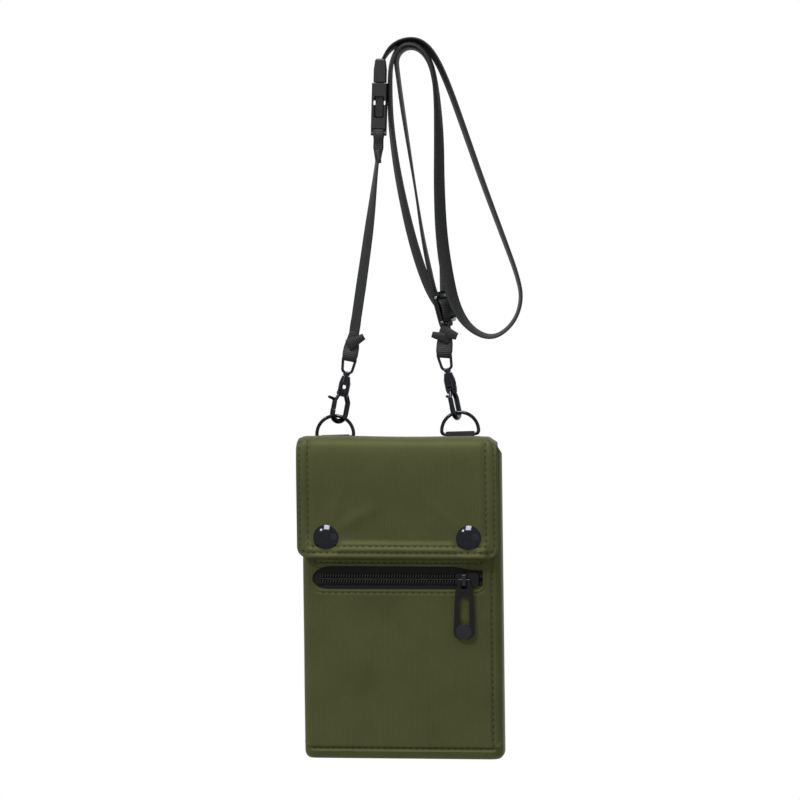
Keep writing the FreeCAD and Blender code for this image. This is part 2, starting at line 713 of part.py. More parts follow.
def ring_frame(side):
    """Frame of one ring: X along its bar, Z to its crown."""
    along = turned(X_AXIS, Y_AXIS, -RING_TILT)
    crown = along.cross(Y_AXIS)
    middle = RING_CENTRE.add(V(POUCH_X, 0, -HANG_DROP))
    return local_frame(middle.add(V(along).multiply(SIGNS[side] * RING_SPACING / 2)), along, crown)


def make_d_ring():
    half = RING_W / 2
    crown_r = half
    corners = [V(-half, 0, 0), V(half, 0, 0), V(half, 0, RING_H), V(-half, 0, RING_H)]
    return round_bar(corners, [RING_FOOT_R, RING_FOOT_R, crown_r - 1e-4, crown_r - 1e-4],
                     RING_WIRE_R, closed=True)


def make_ring_tab():
    """Webbing tab folded round the ring's bar and sewn to the back panel."""
    bore = RING_WIRE_R + TAB_CLEAR
    half = TAB_W / 2
    outer = bore + TAB_T
    layers = 2 * TAB_T
    eye = rod(V(-half, 0, 0), V(half, 0, 0), outer)
    side = [V(-half, -outer, 0), V(-half, BACK_Y, -TAB_DROP), V(-half, BACK_Y, -TAB_L),
            V(-half, BACK_Y + layers, -TAB_L), V(-half, BACK_Y + layers, -TAB_DROP),
            V(-half, layers - outer, 0)]
    tail = Part.Face(Part.makePolygon(side + side[:1])).extrude(V(TAB_W, 0, 0))
    hole = rod(V(-half - OVER, 0, 0), V(half + OVER, 0, 0), bore)
    return fuse_all([eye, tail]).cut(hole)


# Swivel hooks

def hook_axes(side):
    """Seat point, radial direction and the wire's direction where the hook hangs on its ring."""
    ring = ring_frame(side)
    crown_r = RING_W / 2
    arc_centre = ring.multVec(V(0, 0, RING_H - crown_r))
    lean = HOOK_LEAN[side]
    up = turned(Z_AXIS, Y_AXIS, lean)
    tangent = turned(X_AXIS, Y_AXIS, lean)
    seat = crown_r - RING_WIRE_R - HOOK_SEAT_GAP - HOOK_ROD_R
    return arc_centre.add(V(up).multiply(seat)), up, tangent


def hook_frame(side):
    seat, up, _ = hook_axes(side)
    across = turned(V(0, -1, 0), up, HOOK_YAW[side])
    return local_frame(seat, across, up)


def eye_frame(side):
    seat, up, tangent = hook_axes(side)
    return local_frame(seat, tangent, up)


def gate_sweep(radius):
    """Round room about the gate's pin, on the gate's side of the hook."""
    pivot_x, pivot_z = GATE_PIVOT
    reach = 2 * BARREL_R
    whole = rod(V(pivot_x, -reach, pivot_z), V(pivot_x, reach, pivot_z), radius)
    return whole.common(box(-3 * HOOK_A, 0, -reach, reach, 0, pivot_z + radius))


def gate_reach():
    """From the gate's pin to the end of the gate."""
    pivot_x, pivot_z = GATE_PIVOT
    return math.hypot(HOOK_A + pivot_x, pivot_z - NOSE_H)


def make_hook_body(side):
    """Bow and spine bent from round rod, on a turned barrel with a cavity, an eyelet and a gate slot."""
    bow = [V(-HOOK_A, 0, NOSE_H + HOOK_ROD_R), V(-HOOK_A, 0, 0), V(HOOK_A, 0, 0), V(HOOK_A, 0, SPINE_TOP),
           V(BARREL_FOOT_R - HOOK_ROD_R, 0, BARREL_LOW + HOOK_ROD_R * 2)]
    rod_part = round_bar(bow, [0, HOOK_A - 1e-4, HOOK_A - 1e-4, 3.0, 0], HOOK_ROD_R)
    rod_part = rod_part.cut(gate_sweep(gate_reach() + GATE_GAP))
    profile = [V(0, 0, BARREL_LOW), V(BARREL_FOOT_R, 0, BARREL_LOW),
               V(BARREL_R, 0, BARREL_LOW + 2.4), V(BARREL_R, 0, CAVITY_HIGH - 1.2),
               V(BARREL_TOP_R, 0, BARREL_HIGH), V(0, 0, BARREL_HIGH)]
    barrel = Part.Face(Part.makePolygon(profile + profile[:1])).revolve(V(0, 0, 0), Z_AXIS, 360)
    whole = fuse_all([rod_part, barrel])
    cavity = Part.makeCylinder(BARREL_CAVITY_R, CAVITY_HIGH - CAVITY_LOW, V(0, 0, CAVITY_LOW))
    bore = Part.makeCylinder(STEM_R + STEM_CLEAR, BARREL_HIGH + OVER - CAVITY_LOW, V(0, 0, CAVITY_LOW))
    eyelet_top = CAVITY_LOW + EYELET_H
    eyelet = plate([(-EYELET_W / 2, CAVITY_LOW), (EYELET_W / 2, CAVITY_LOW),
                    (EYELET_W / 2, eyelet_top), (-EYELET_W / 2, eyelet_top)],
                   [EYELET_H * 0.45] * 4, -2 * BARREL_R, 2 * BARREL_R)
    eyelet.rotate(V(0, 0, 0), Z_AXIS, EYELET_TURN[side])
    pivot_x, pivot_z = GATE_PIVOT
    slot_half = GATE_T / 2 + GATE_CHEEK_GAP
    slot_room = GATE_BOSS_R + GATE_CHEEK_GAP
    slot = box(-2 * BARREL_R, pivot_x + slot_room, -slot_half, slot_half,
               BARREL_LOW - OVER, pivot_z + slot_room)
    pin_hole = rod(V(pivot_x, -2 * BARREL_R, pivot_z), V(pivot_x, 2 * BARREL_R, pivot_z), GATE_PIN_R)
    for cutter in (cavity, bore, eyelet, slot, pin_hole):
        whole = whole.cut(cutter)
    return whole


def make_gate():
    """Sprung gate: a boss on the pin, a bar down to the nose and a thumb lever."""
    pivot_x, pivot_z = GATE_PIVOT
    knee = V(-HOOK_A, 0, SPINE_TOP)
    foot = V(-HOOK_A, 0, NOSE_H - GATE_WIDE_R)
    pivot = V(pivot_x, 0, pivot_z)
    bar = round_bar([pivot, knee, foot], [0, 2.5, 0], GATE_R)
    wide = rod(knee, foot, GATE_WIDE_R)
    shoulder = Part.makeSphere(GATE_WIDE_R, knee)
    boss = rod(V(pivot_x, -GATE_T / 2, pivot_z), V(pivot_x, GATE_T / 2, pivot_z), GATE_BOSS_R)
    lever_root = V(-HOOK_A, 0, LEVER_UP - GATE_R)
    lever = Part.makeCone(GATE_R, LEVER_TIP_R, LEVER_L, lever_root, V(-LEVER_L, 0, GATE_R))
    tip = Part.makeSphere(LEVER_TIP_R, lever_root.add(V(-LEVER_L, 0, GATE_R).normalize().multiply(LEVER_L)))
    low = fuse_all([bar, wide, shoulder]).common(gate_sweep(gate_reach()))
    hole = rod(V(pivot_x, -GATE_T, pivot_z), V(pivot_x, GATE_T, pivot_z), GATE_PIN_R + GATE_PIN_CLEAR)
    return fuse_all([low, boss, lever, tip]).cut(hole)


def make_gate_pin():
    pivot_x, pivot_z = GATE_PIVOT
    reach = math.sqrt(BARREL_FOOT_R ** 2 - pivot_x ** 2)
    return rod(V(pivot_x, -reach, pivot_z), V(pivot_x, reach, pivot_z), GATE_PIN_R)


def make_gate_spring():
    """Leaf spring in the barrel that pushes the gate shut."""
    _, pivot_z = GATE_PIVOT
    low = pivot_z + GATE_BOSS_R + GATE_CHEEK_GAP
    x = -BARREL_CAVITY_R + SPRING_T
    leaf_low = max(low, CAVITY_LOW)
    leaf = box(x, x + SPRING_T, -SPRING_W / 2, SPRING_W / 2, leaf_low, leaf_low + SPRING_L * 0.4)
    return leaf


def make_swivel_eye():
    """Wire eye for the webbing on a headed stem that turns in the barrel."""
    collar_low = BARREL_HIGH + COLLAR_GAP
    foot_z = collar_low + COLLAR_T + EYE_WIRE_R * 0.6
    top_z = foot_z + EYE_H
    top = EYE_TOP_W / 2
    foot = EYE_FOOT_W / 2
    loop = round_bar([V(-foot, 0, foot_z), V(foot, 0, foot_z), V(top, 0, top_z), V(-top, 0, top_z)],
                     [EYE_FOOT_R, EYE_FOOT_R, EYE_CORNER_R, EYE_CORNER_R], EYE_WIRE_R, closed=True)
    collar = Part.makeCylinder(COLLAR_R, COLLAR_T, V(0, 0, collar_low))
    head_low = CAVITY_HIGH - STEM_CLEAR - STEM_HEAD_T
    stem = Part.makeCylinder(STEM_R, collar_low - head_low, V(0, 0, head_low))
    head = Part.makeCylinder(STEM_HEAD_R, STEM_HEAD_T, V(0, 0, head_low))
    return fuse_all([loop, collar, stem, head])


def eye_bar_z():
    return BARREL_HIGH + COLLAR_GAP + COLLAR_T + EYE_WIRE_R * 0.6 + EYE_H


# Webbing

def webbing(points, name):
    """Flat webbing on edge along a route: straight runs and the largest tangent arcs they allow."""
    route = [V(x, 0, z) for x, z in points]
    radii = [0] * len(route)
    for i in range(1, len(route) - 1):
        come = route[i].sub(route[i - 1])
        go = route[i + 1].sub(route[i])
        turn = come.getAngle(go)
        radii[i] = 0.45 * min(come.Length, go.Length) / math.tan(turn / 2)
    path = rounded_path(route, radii, False)
    sides = ([], [])
    length = 0.0
    for step in path:
        if step[0] == "line":
            a, b = step[1:]
            length += a.distanceToPoint(b)
            aside = Y_AXIS.cross(b.sub(a)).normalize()
            for edges, sign in zip(sides, SIGNS):
                shift = V(aside).multiply(sign * STRAP_T / 2)
                edges.append(Part.LineSegment(a.add(shift), b.add(shift)).toShape())
            continue
        start, _, centre, axis, degrees = step[1:]
        length += start.distanceToPoint(centre) * math.radians(degrees)
        along = axis.cross(start.sub(centre))
        aside = Y_AXIS.cross(along).normalize()
        for edges, sign in zip(sides, SIGNS):
            first = start.add(V(aside).multiply(sign * STRAP_T / 2)).sub(centre)
            half_way = turned(first, axis, degrees / 2)
            last = turned(first, axis, degrees)
            edges.append(Part.Arc(centre.add(first), centre.add(half_way), centre.add(last)).toShape())
    low, high = sides
    start_cap = Part.LineSegment(low[0].Vertexes[0].Point, high[0].Vertexes[0].Point).toShape()
    end_cap = Part.LineSegment(low[-1].Vertexes[-1].Point, high[-1].Vertexes[-1].Point).toShape()
    ordered = Part.sortEdges(low + high + [start_cap, end_cap])[0]
    strip = Part.Face(Part.Wire(ordered)).extrude(V(0, STRAP_W, 0))
    strip.translate(V(0, -STRAP_W / 2, 0))
    volume = length * STRAP_W * STRAP_T
    print("%s length %.1f radii %s volume ratio %.4f" % (
        name, length, [round(r, 1) for r in radii[1:-1]], strip.Volume / volume))
    return strip


def fold_round_bar(bar_r, length, tail_side):
    """Sewn end in the bar's frame: gathered webbing round the bar, two layers up, and a raw tail."""
    bore = bar_r + FOLD_CLEARANCE
    half = FOLD_W / 2
    eye = rod(V(-half, 0, 0), V(half, 0, 0), bore + STRAP_T)
    layers = box(-half, half, -STRAP_T, STRAP_T, 0, length)
    hole = rod(V(-half - OVER, 0, 0), V(half + OVER, 0, 0), bore)
    tail = box(0, TAIL_L, STRAP_T, 2 * STRAP_T, length * 0.45, length * 0.45 + STRAP_W * 0.7)
    tail.rotate(V(0, 0, length * 0.6), Y_AXIS, TAIL_TURN - 90 if tail_side > 0 else 270 - TAIL_TURN)
    return fuse_all([fuse_all([eye, layers]).cut(hole), tail])


def left_eye_bar():
    seat, up, _ = hook_axes(0)
    return seat.add(V(up).multiply(eye_bar_z())), up


def make_strap_end_left():
    bar, up = left_eye_bar()
    frame = local_frame(bar, turned(X_AXIS, Y_AXIS, HOOK_LEAN[0]), up)
    return placed(fold_round_bar(EYE_WIRE_R, FOLD_L, 1), frame)


def left_route():
    bar, up = left_eye_bar()
    foot = bar.add(V(up).multiply(FOLD_L + STRAP_END_GAP))
    return [(foot.x, foot.z)] + ROUTE_LEFT


# Buckle

def buckle_frame():
    up = turned(Z_AXIS, Y_AXIS, BUCKLE_LEAN)
    across = turned(X_AXIS, Y_AXIS, BUCKLE_LEAN)
    return local_frame(V(BUCKLE_X, 0, BUCKLE_Z), across, up)


def make_strap_end_buckle():
    """Sewn end that hangs from the socket's bar, raw tail to the right."""
    frame = buckle_frame()
    upside = FreeCAD.Placement(V(0, 0, 0), FreeCAD.Rotation(Y_AXIS, 180))
    return placed(fold_round_bar(BAR_R, FOLD_L, -1), frame.multiply(upside))


def make_buckle_socket():
    """Moulded socket: hollow for the tongue, a front window, two feet and the strap bar."""
    half = BUCKLE_W / 2
    deep = BUCKLE_T / 2
    body = box(-half, half, -deep, deep, SOCKET_LOW, SOCKET_HIGH)
    body = body.makeFillet(SOCKET_EDGE_R, [edge for edge in body.Edges
                                           if abs(edge.Vertexes[0].X - edge.Vertexes[1].X) < 1e-6
                                           and abs(edge.Vertexes[0].Y - edge.Vertexes[1].Y) < 1e-6])
    room = box(-SOCKET_ROOM_W / 2, SOCKET_ROOM_W / 2, -SOCKET_ROOM_T / 2, SOCKET_ROOM_T / 2,
               TONGUE_LOW - OVER, SOCKET_HIGH + OVER)
    window_half = BUCKLE_WINDOW_W / 2
    window = plate([(-window_half, BUCKLE_WINDOW_LOW), (window_half, BUCKLE_WINDOW_LOW),
                    (window_half, BUCKLE_WINDOW_HIGH), (-window_half, BUCKLE_WINDOW_HIGH)],
                   [1.0] * 4, -deep - OVER, SOCKET_ROOM_T / 2)
    peep_near = TONGUE_W / 2 + PEEP_CLEAR
    peep_far = peep_near + PEEP_W
    peeps = []
    for sign in SIGNS:
        low, high = sorted((sign * peep_near, sign * peep_far))
        peeps.append(plate([(low, PEEP_LOW), (high, PEEP_LOW), (high, PEEP_HIGH), (low, PEEP_HIGH)],
                           [PEEP_W * 0.45] * 4, -deep - OVER, deep + OVER))
    feet = []
    for sign in SIGNS:
        inner = sign * (half - FOOT_W)
        outer = sign * half
        feet.append(box(min(inner, outer), max(inner, outer), -BAR_R, BAR_R, 0, SOCKET_LOW + SOCKET_EDGE_R))
        feet.append(rod(V(inner, 0, 0), V(outer, 0, 0), BAR_R * 1.25))
    bar = rod(V(-half, 0, 0), V(half, 0, 0), BAR_R)
    return fuse_all([body.cut(fuse_all([room, window] + peeps)), bar] + feet)


def make_buckle_plug():
    """Moulded plug: a tapered head that holds the strap, and a ribbed tongue."""
    low = SOCKET_HIGH + PLUG_SEAM
    half = PLUG_W / 2
    top = PLUG_TOP_W / 2
    deep = BUCKLE_T / 2
    knee = low + (PLUG_TOP - low) * 0.55
    head = plate([(-half, low), (half, low), (half, knee), (top, PLUG_TOP), (-top, PLUG_TOP), (-half, knee)],
                 [0.5, 0.5, 3.0, 1.6, 1.6, 3.0], -deep, deep)
    outline = [edge for edge in head.Edges
               if abs(edge.Vertexes[0].Y - edge.Vertexes[1].Y) < 1e-6
               and min(vertex.Z for vertex in edge.Vertexes) > low + 0.6]
    head = head.makeFillet(1.0, outline)
    slot = box(-PLUG_SLOT_W / 2, PLUG_SLOT_W / 2, -PLUG_SLOT_T / 2, PLUG_SLOT_T / 2,
               PLUG_TOP - PLUG_SLOT_DEEP, PLUG_TOP + OVER)
    tongue = plate([(-TONGUE_W / 2, TONGUE_LOW), (TONGUE_W / 2, TONGUE_LOW),
                    (TONGUE_W / 2, low), (-TONGUE_W / 2, low)],
                   [1.2, 1.2, 0, 0], -TONGUE_T / 2, TONGUE_T / 2)
    rails = [box(x - TONGUE_RAIL_W / 2, x + TONGUE_RAIL_W / 2, -TONGUE_T / 2 - 0.2, -TONGUE_T / 2,
                 TONGUE_LOW + 2 * TONGUE_RIB_T, low)
             for x in (-TONGUE_RAIL_STEP, 0, TONGUE_RAIL_STEP)]
    return fuse_all([head.cut(slot), tongue] + rails)


# Adjuster

def adjuster_frame():
    up = turned(Z_AXIS, Y_AXIS, ADJ_LEAN)
    across = turned(turned(X_AXIS, Y_AXIS, ADJ_LEAN), up, ADJ_TURN)
    return local_frame(V(ADJ_X, 0, ADJ_Z), across, up)


def make_adjuster():
    """Three-bar slide of rolled metal."""
    half = ADJ_W / 2
    tall = ADJ_H / 2
    deep = ADJ_T / 2
    frame = plate([(-half, -tall), (half, -tall), (half, tall), (-half, tall)],
                  [ADJ_CORNER_R] * 4, -deep, deep)
    inner = half - ADJ_SIDE
    slot_low = ADJ_BAR / 2
    slot_high = tall - ADJ_BAR
    for sign in SIGNS:
        low, high = sorted((sign * slot_low, sign * slot_high))
        frame = frame.cut(plate([(-inner, low), (inner, low), (inner, high), (-inner, high)],
                                [ADJ_SLOT_R] * 4, -deep - OVER, deep + OVER))
    return frame


def make_strap_end_right():
    """Sewn end between the right eye and the adjuster's lower bar."""
    seat, up, tangent = hook_axes(1)
    eye_bar = seat.add(V(up).multiply(eye_bar_z()))
    adjuster = adjuster_frame()
    low_bar = adjuster.multVec(V(0, 0, -ADJ_H / 2 + ADJ_BAR / 2))
    run = low_bar.sub(eye_bar)
    half = FOLD_W / 2
    eye_bore = EYE_WIRE_R + FOLD_CLEARANCE
    bar_bore = math.hypot(ADJ_T, ADJ_BAR) / 2 + FOLD_CLEARANCE
    rise = V(run).normalize()
    across = Y_AXIS.cross(rise)
    layers = placed(box(-half, half, -STRAP_T, STRAP_T, 0, run.Length), local_frame(eye_bar, across, rise))
    reach = half + OVER
    high_tangent = adjuster.Rotation.multVec(X_AXIS)
    rounds = []
    holes = []
    for bar, along, bore in ((eye_bar, tangent, eye_bore), (low_bar, high_tangent, bar_bore)):
        side = V(along).multiply(half)
        far = V(along).multiply(reach)
        rounds.append(rod(bar.sub(side), bar.add(side), bore + STRAP_T))
        holes.append(rod(bar.sub(far), bar.add(far), bore))
    whole = fuse_all([layers] + rounds)
    for hole in holes:
        whole = whole.cut(hole)
    return whole


def main():
    os.makedirs("parts", exist_ok=True)
    shell = body_shells()
    save("front_panel", hung(make_front_panel(shell)))
    save("gusset", hung(make_gusset(shell)))
    save("back_panel", hung(make_back_panel(shell)))
    save("lining", hung(make_lining()))
    save("pocket_bag", hung(make_pocket_bag()))
    save("flap_bridge", hung(make_flap_bridge()))
    save("flap_panel", hung(make_flap_panel()))
    save("flap_lining", hung(make_flap_lining()))
    for name, x in zip(SIDES, snap_places()):
        save("snap_cap_" + name, hung(make_snap_cap(x)))
        save("snap_socket_" + name, hung(make_snap_socket(x)))
        save("snap_stud_" + name, hung(make_snap_stud(x)))
        save("snap_post_" + name, hung(make_snap_post(x)))
    for name, side in (("upper", 1), ("lower", -1)):
        save("zip_tape_" + name, hung(make_zip_tape(side)))
        save("zip_teeth_" + name, hung(make_zip_teeth(side)))
    save("zip_top_stops", hung(make_zip_top_stops()))
    save("zip_bottom_stop", hung(make_zip_bottom_stop()))
    save("zip_slider", hung(make_zip_slider()))
    save("zip_pull", hung(make_zip_pull()))
    for side, name in enumerate(SIDES):
        save("d_ring_" + name, placed(make_d_ring(), ring_frame(side)))
        save("ring_tab_" + name, placed(make_ring_tab(), ring_frame(side)))
        save("hook_body_" + name, placed(make_hook_body(side), hook_frame(side)))
        save("gate_" + name, placed(make_gate(), hook_frame(side)))
        save("gate_pin_" + name, placed(make_gate_pin(), hook_frame(side)))
        save("gate_spring_" + name, placed(make_gate_spring(), hook_frame(side)))
        save("swivel_eye_" + name, placed(make_swivel_eye(), eye_frame(side)))
    save("strap_end_left", make_strap_end_left())
    save("strap_end_right", make_strap_end_right())
    save("strap_end_buckle", make_strap_end_buckle())
    save("strap_left", webbing(left_route(), "strap_left"))
    save("strap_long", webbing(ROUTE_LONG, "strap_long"))
    save("strap_loop", webbing(ROUTE_LOOP, "strap_loop"))
    save("buckle_socket", placed(make_buckle_socket(), buckle_frame()))
    save("buckle_plug", placed(make_buckle_plug(), buckle_frame()))
    save("adjuster", placed(make_adjuster(), adjuster_frame()))


main()
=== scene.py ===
import math

import bpy
import numpy as np
from bpy.props import FloatProperty, PointerProperty, StringProperty
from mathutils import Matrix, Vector


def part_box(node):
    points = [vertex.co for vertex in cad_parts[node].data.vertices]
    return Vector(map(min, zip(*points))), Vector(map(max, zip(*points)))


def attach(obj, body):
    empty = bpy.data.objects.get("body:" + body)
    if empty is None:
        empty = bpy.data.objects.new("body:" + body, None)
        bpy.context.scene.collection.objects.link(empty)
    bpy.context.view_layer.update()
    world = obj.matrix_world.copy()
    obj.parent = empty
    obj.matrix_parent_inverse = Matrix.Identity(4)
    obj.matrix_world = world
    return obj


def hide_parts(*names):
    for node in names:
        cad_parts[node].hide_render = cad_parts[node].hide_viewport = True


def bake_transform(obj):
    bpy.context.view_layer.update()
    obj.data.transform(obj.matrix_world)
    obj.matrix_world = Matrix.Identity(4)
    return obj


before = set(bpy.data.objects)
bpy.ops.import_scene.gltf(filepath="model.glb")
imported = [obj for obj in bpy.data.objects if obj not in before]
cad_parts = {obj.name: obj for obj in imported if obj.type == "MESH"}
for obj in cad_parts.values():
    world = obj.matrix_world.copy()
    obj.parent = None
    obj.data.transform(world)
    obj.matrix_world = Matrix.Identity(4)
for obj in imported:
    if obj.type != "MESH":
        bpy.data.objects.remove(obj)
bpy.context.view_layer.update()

bl_info = {
    "name": "Hanging phone pouch",
    "version": (1, 0, 0),
    "blender": (4, 5, 0),
    "location": "View3D > Sidebar > Pouch",
    "description": "Soft goods, finishes, light and camera for a hanging phone pouch",
    "category": "Object",
}

MM = 0.001
SIDES = ("left", "right")
DEPTH = Vector((0, 1, 0))

# Sizes in metres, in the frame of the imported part. Heights on the pouch are above its bottom edge
POUCH_X = -0.00225
POUCH_LOW = -0.3974
HALF_W = 0.056
FRONT_Y = -0.021
BACK_Y = -0.003
WALL = 0.0014
MOUTH = 0.172
BACK_TOP = 0.1775
# Radii of the corners seen from above and of the bottom edge, then where its corners end and the mouth starts
PLAN_R = 0.0048
FOOT_R = 0.0045
FOOT_CORNER = 0.0062
MOUTH_NEAR = 0.160
# How far the pouch hangs to a side for each metre of height
SKEW = 0.0125
# Stitch rows of the body, and how far apart their points are
SEAM_LOW = 0.0061
SEAM_SIDE = 0.0505
SEAM_STEP = 0.002
# Lining: its two layers, the room before it for the pocket bag, and how far it stands over the mouth
LINING_INSETS = (0.0016, 0.0021)
LINING_ROOM = 0.0034
LINING_OVER = 0.0005
# Pocket bag: its two layers behind the front, its depth, and how wide its shallow edge is
POCKET_LAYERS = (0.0018, 0.00225)
POCKET_DEPTH = 0.0024
POCKET_EDGE = 0.006

FLAP_X = POUCH_X - 0.002
FLAP_HALF = 0.0565
FLAP_T = 0.0022
FLAP_CORNER = 0.0065
# The height at which the flap isn't shifted to a side
FLAP_LEVEL = 0.124
# How far apart the points of its path are, the depths where it folds and where its pieces meet, and its top
FLAP_STEP = 0.0008
FLAP_FOLD_Y = -0.0235
FLAP_SPLIT_Y = -0.0140
FLAP_TOP = 0.178
SNAP_X = 0.040
SNAP_UP = 0.0115
# Two stitch rows: how far inside the flap's sides, and above its lower edge
HEM_ROWS = (0.0019, 0.0066)
HEM_LOW = (0.0032, 0.0068)
# The stretch above the lower edge where the path's points are closer together
HEM_FINE = 0.0092
HEM_CLEAR = 0.0094
HEM_STEP = 0.00035

ZIP_Z = 0.1008
ZIP_PITCH = 0.0015
# Zip window: half its size and its corners, then how much higher and longer it is cut, and its left nose
WINDOW_HALF_X = 0.0475
WINDOW_HALF_Z = 0.0065
WINDOW_CORNER = 0.004
WINDOW_RISE = 0.0009
WINDOW_LONGER = 0.0008
WINDOW_NOSE = 0.0112
WINDOW_SAG = 0.0006
# The window's right end: across from its right edge and up from its middle
WINDOW_RIGHT = ((-0.011, -0.0063), (-0.006, -0.0045), (0.0, -0.0043), (0.0, 0.0044), (-0.006, 0.0046),
                (-0.016, 0.0064))
# How far the window's cut runs before and behind the front
WINDOW_DEPTHS = (-0.012, 0.0030)

# Webbing and ring tabs: widths, thicknesses, how far apart the points of a path are, and the tabs' thread
STRAP_W = 0.008
STRAP_T = 0.0012
STRAP_STEP = 0.0015
FOLD_STEP = 0.0006
TAB_W = 0.016
TAB_T = 0.00045
TAB_STEP = 0.0004
TAB_THREAD = 0.00206
# What the webbing and the tabs go round, as packed
RING_MIDDLE = Vector((-0.00665, 0, -0.2169))
RING_HALF = 0.03535
RING_TILT = math.radians(1.78)
EYE_BARS = (Vector((-0.03390, 0, -0.17313)), Vector((0.01951, 0, -0.17113)))
EYE_BAR_R = 0.0008
EYE_LEAN = math.radians(10.7)
BUCKLE_BAR = Vector((-0.0174, 0, -0.0470))
BUCKLE_BAR_R = 0.0012
BUCKLE_LEAN = math.radians(1.5)
ADJUSTER = Vector((0.0202, 0, -0.1452))
ADJUSTER_LEAN = math.radians(-15.0)
ADJUSTER_TURN = math.radians(50.0)
ADJUSTER_MIDDLE = 0.0062
# Width of the webbing in the adjuster
THREADED_W = 0.0089
# Sewn ends: how long they are doubled, and how far from the adjuster's middle the right one stops
LEFT_END = 0.0150
BUCKLE_END = 0.0160
RIGHT_END_ASIDE = 0.0018
RIGHT_END_BELOW = 0.0086
# Room between a bar and its webbing, and how a raw tail starts, bends forward and ends
BAR_ROOM = 0.0002
TAIL_ROOT = 0.0025
TAIL_BEND = 0.0007
TAIL_TIP = 0.0004

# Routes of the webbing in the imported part, across and up, each with the twist there in degrees
ROUTE_LEFT = [(-0.03128, -0.15928, -54), (-0.0226, -0.1001, -42), (-0.0186, -0.0644, -14)]
ROUTE_LONG = [
    (-0.0159, -0.0042, 10), (-0.0113, 0.0034, 16), (-0.0024, 0.0072, 22), (0.0080, 0.0060, 28),
    (0.0168, -0.0042, 26), (0.0236, -0.0210, 25), (0.0312, -0.0445, 24), (0.0415, -0.0755, 22),
    (0.0532, -0.1065, 19), (0.0610, -0.1275, 16), (0.0634, -0.1405, 14), (0.0588, -0.1538, 13),
    (0.0473, -0.1626, 12), (0.0348, -0.1575, 19), (0.0260, -0.1450, 40), (0.0212, -0.1265, 58),
    (0.0180, -0.1030, 50), (0.0167, -0.0760, 42), (0.0163, -0.0500, 35), (0.0149, -0.0250, 16),
    (0.0122, -0.0065, 4), (0.0052, 0.0034, 15), (-0.0044, 0.0036, 15), (-0.0103, -0.0056, 18),
    (-0.0111, -0.0205, 20), (-0.0104, -0.0430, 24), (-0.0064, -0.0715, 31), (0.0006, -0.1030, 39),
    (0.0070, -0.1240, 42), (0.0130, -0.1392, 38)]
ROUTE_LOOP = [
    (0.0144, -0.1372, 8), (0.0112, -0.1235, 10), (0.0074, -0.1050, 3), (0.0036, -0.0800, -5),
    (-0.0006, -0.0540, 2), (-0.0044, -0.0300, 7), (-0.0066, -0.0145, 6), (-0.0069, -0.0040, 10),
    (-0.0016, 0.0015, 14), (0.0046, 0.0008, 10), (0.0094, -0.0064, 6), (0.0116, -0.0195, 4),
    (0.0129, -0.0410, 10), (0.0134, -0.0670, 10), (0.0140, -0.0920, 12), (0.0156, -0.1150, 20),
    (0.0182, -0.1366, 35)]


class PouchColours(bpy.types.PropertyGroup):
    """Colours of the finishes, as sRGB hex"""
    twill: StringProperty(name="Fabric", description="Olive cloth of the body and flap", default="#484b2f")
    lining: StringProperty(name="Lining", description="Cloth inside the pouch", default="#2d3024")
    # Painted shade: the thread is coloured dark for the shade at its needle holes
    thread: StringProperty(name="Thread", description="Thread of the stitch rows", default="#2a2c19")
    webbing: StringProperty(name="Webbing", description="Neck strap", default="#212222")
    tape: StringProperty(name="Zip tape", description="Zip tape and ring tabs", default="#131312")
    coil: StringProperty(name="Zip coil", description="Loops of the zip", default="#151615")
    nickel: StringProperty(name="Dark metal", description="Snaps, rings and hooks", default="#242528")
    # Painted highlight: pale metal on the adjuster's end bars stands for their glints
    bright: StringProperty(name="Metal of painted glints", description="Ends of the adjuster", default="#a3a5a8")
    enamel: StringProperty(name="Enamel", description="Zip slider and pull", default="#0f0f10")
    # Painted light: a lighter bluish grey on the fronts of the pull and slider, where they face the lamps
    painted_lit_enamel: StringProperty(name="Enamel painted lighter where lit", description="Front of the pull", default="#22222a")
    plastic: StringProperty(name="Buckle", description="Both halves of the buckle", default="#191a1a")


class PouchSettings(bpy.types.PropertyGroup):
    """Softness of the cloth and the camera's angle"""
    puff: FloatProperty(name="Padding", description="How far the flap's padding stands out",
                        default=0.0005, unit="LENGTH", precision=5)
    sag: FloatProperty(name="Belly", description="How far the body's front bellies out",
                       default=0.0016, unit="LENGTH", precision=5)
    azimuth: FloatProperty(name="Camera to the right", description="Turn of the camera round the pouch",
                           default=math.radians(6.0), subtype="ANGLE")
    elevation: FloatProperty(name="Camera above", description="Height of the camera as an angle",
                             default=math.radians(1.5), subtype="ANGLE")


def settings():
    """The user's sizes and angles."""
    return bpy.context.scene.pouch_settings


# Materials

def linear(code, share=1.0):
    """sRGB hex to a linear colour, of which a share is left."""
    channels = [int(code[i:i + 2], 16) / 255 for i in (1, 3, 5)]
    return [share * (c / 12.92 if c <= 0.04045 else ((c + 0.055) / 1.055) ** 2.4) for c in channels] + [1.0]


def add_node(tree, kind, inputs=None, out=0, **attributes):
    """One shader node: attributes are its settings, inputs hold values or the sockets to link."""
    made = tree.nodes.new(kind)
    for name, value in attributes.items():
        setattr(made, name, value)
    for name, value in (inputs or {}).items():
        if isinstance(value, bpy.types.NodeSocket):
            tree.links.new(value, made.inputs[name])
        else:
            made.inputs[name].default_value = value
    return made.outputs[out] if made.outputs else None


def new_material(name):
    """A new material and its empty tree."""
    material = bpy.data.materials.new(name)
    material.use_nodes = True
    material.node_tree.nodes.clear()
    return material, material.node_tree


def bands(period):
    """Scale at which a wave texture's bands are a period apart."""
    return math.pi / 10 / period


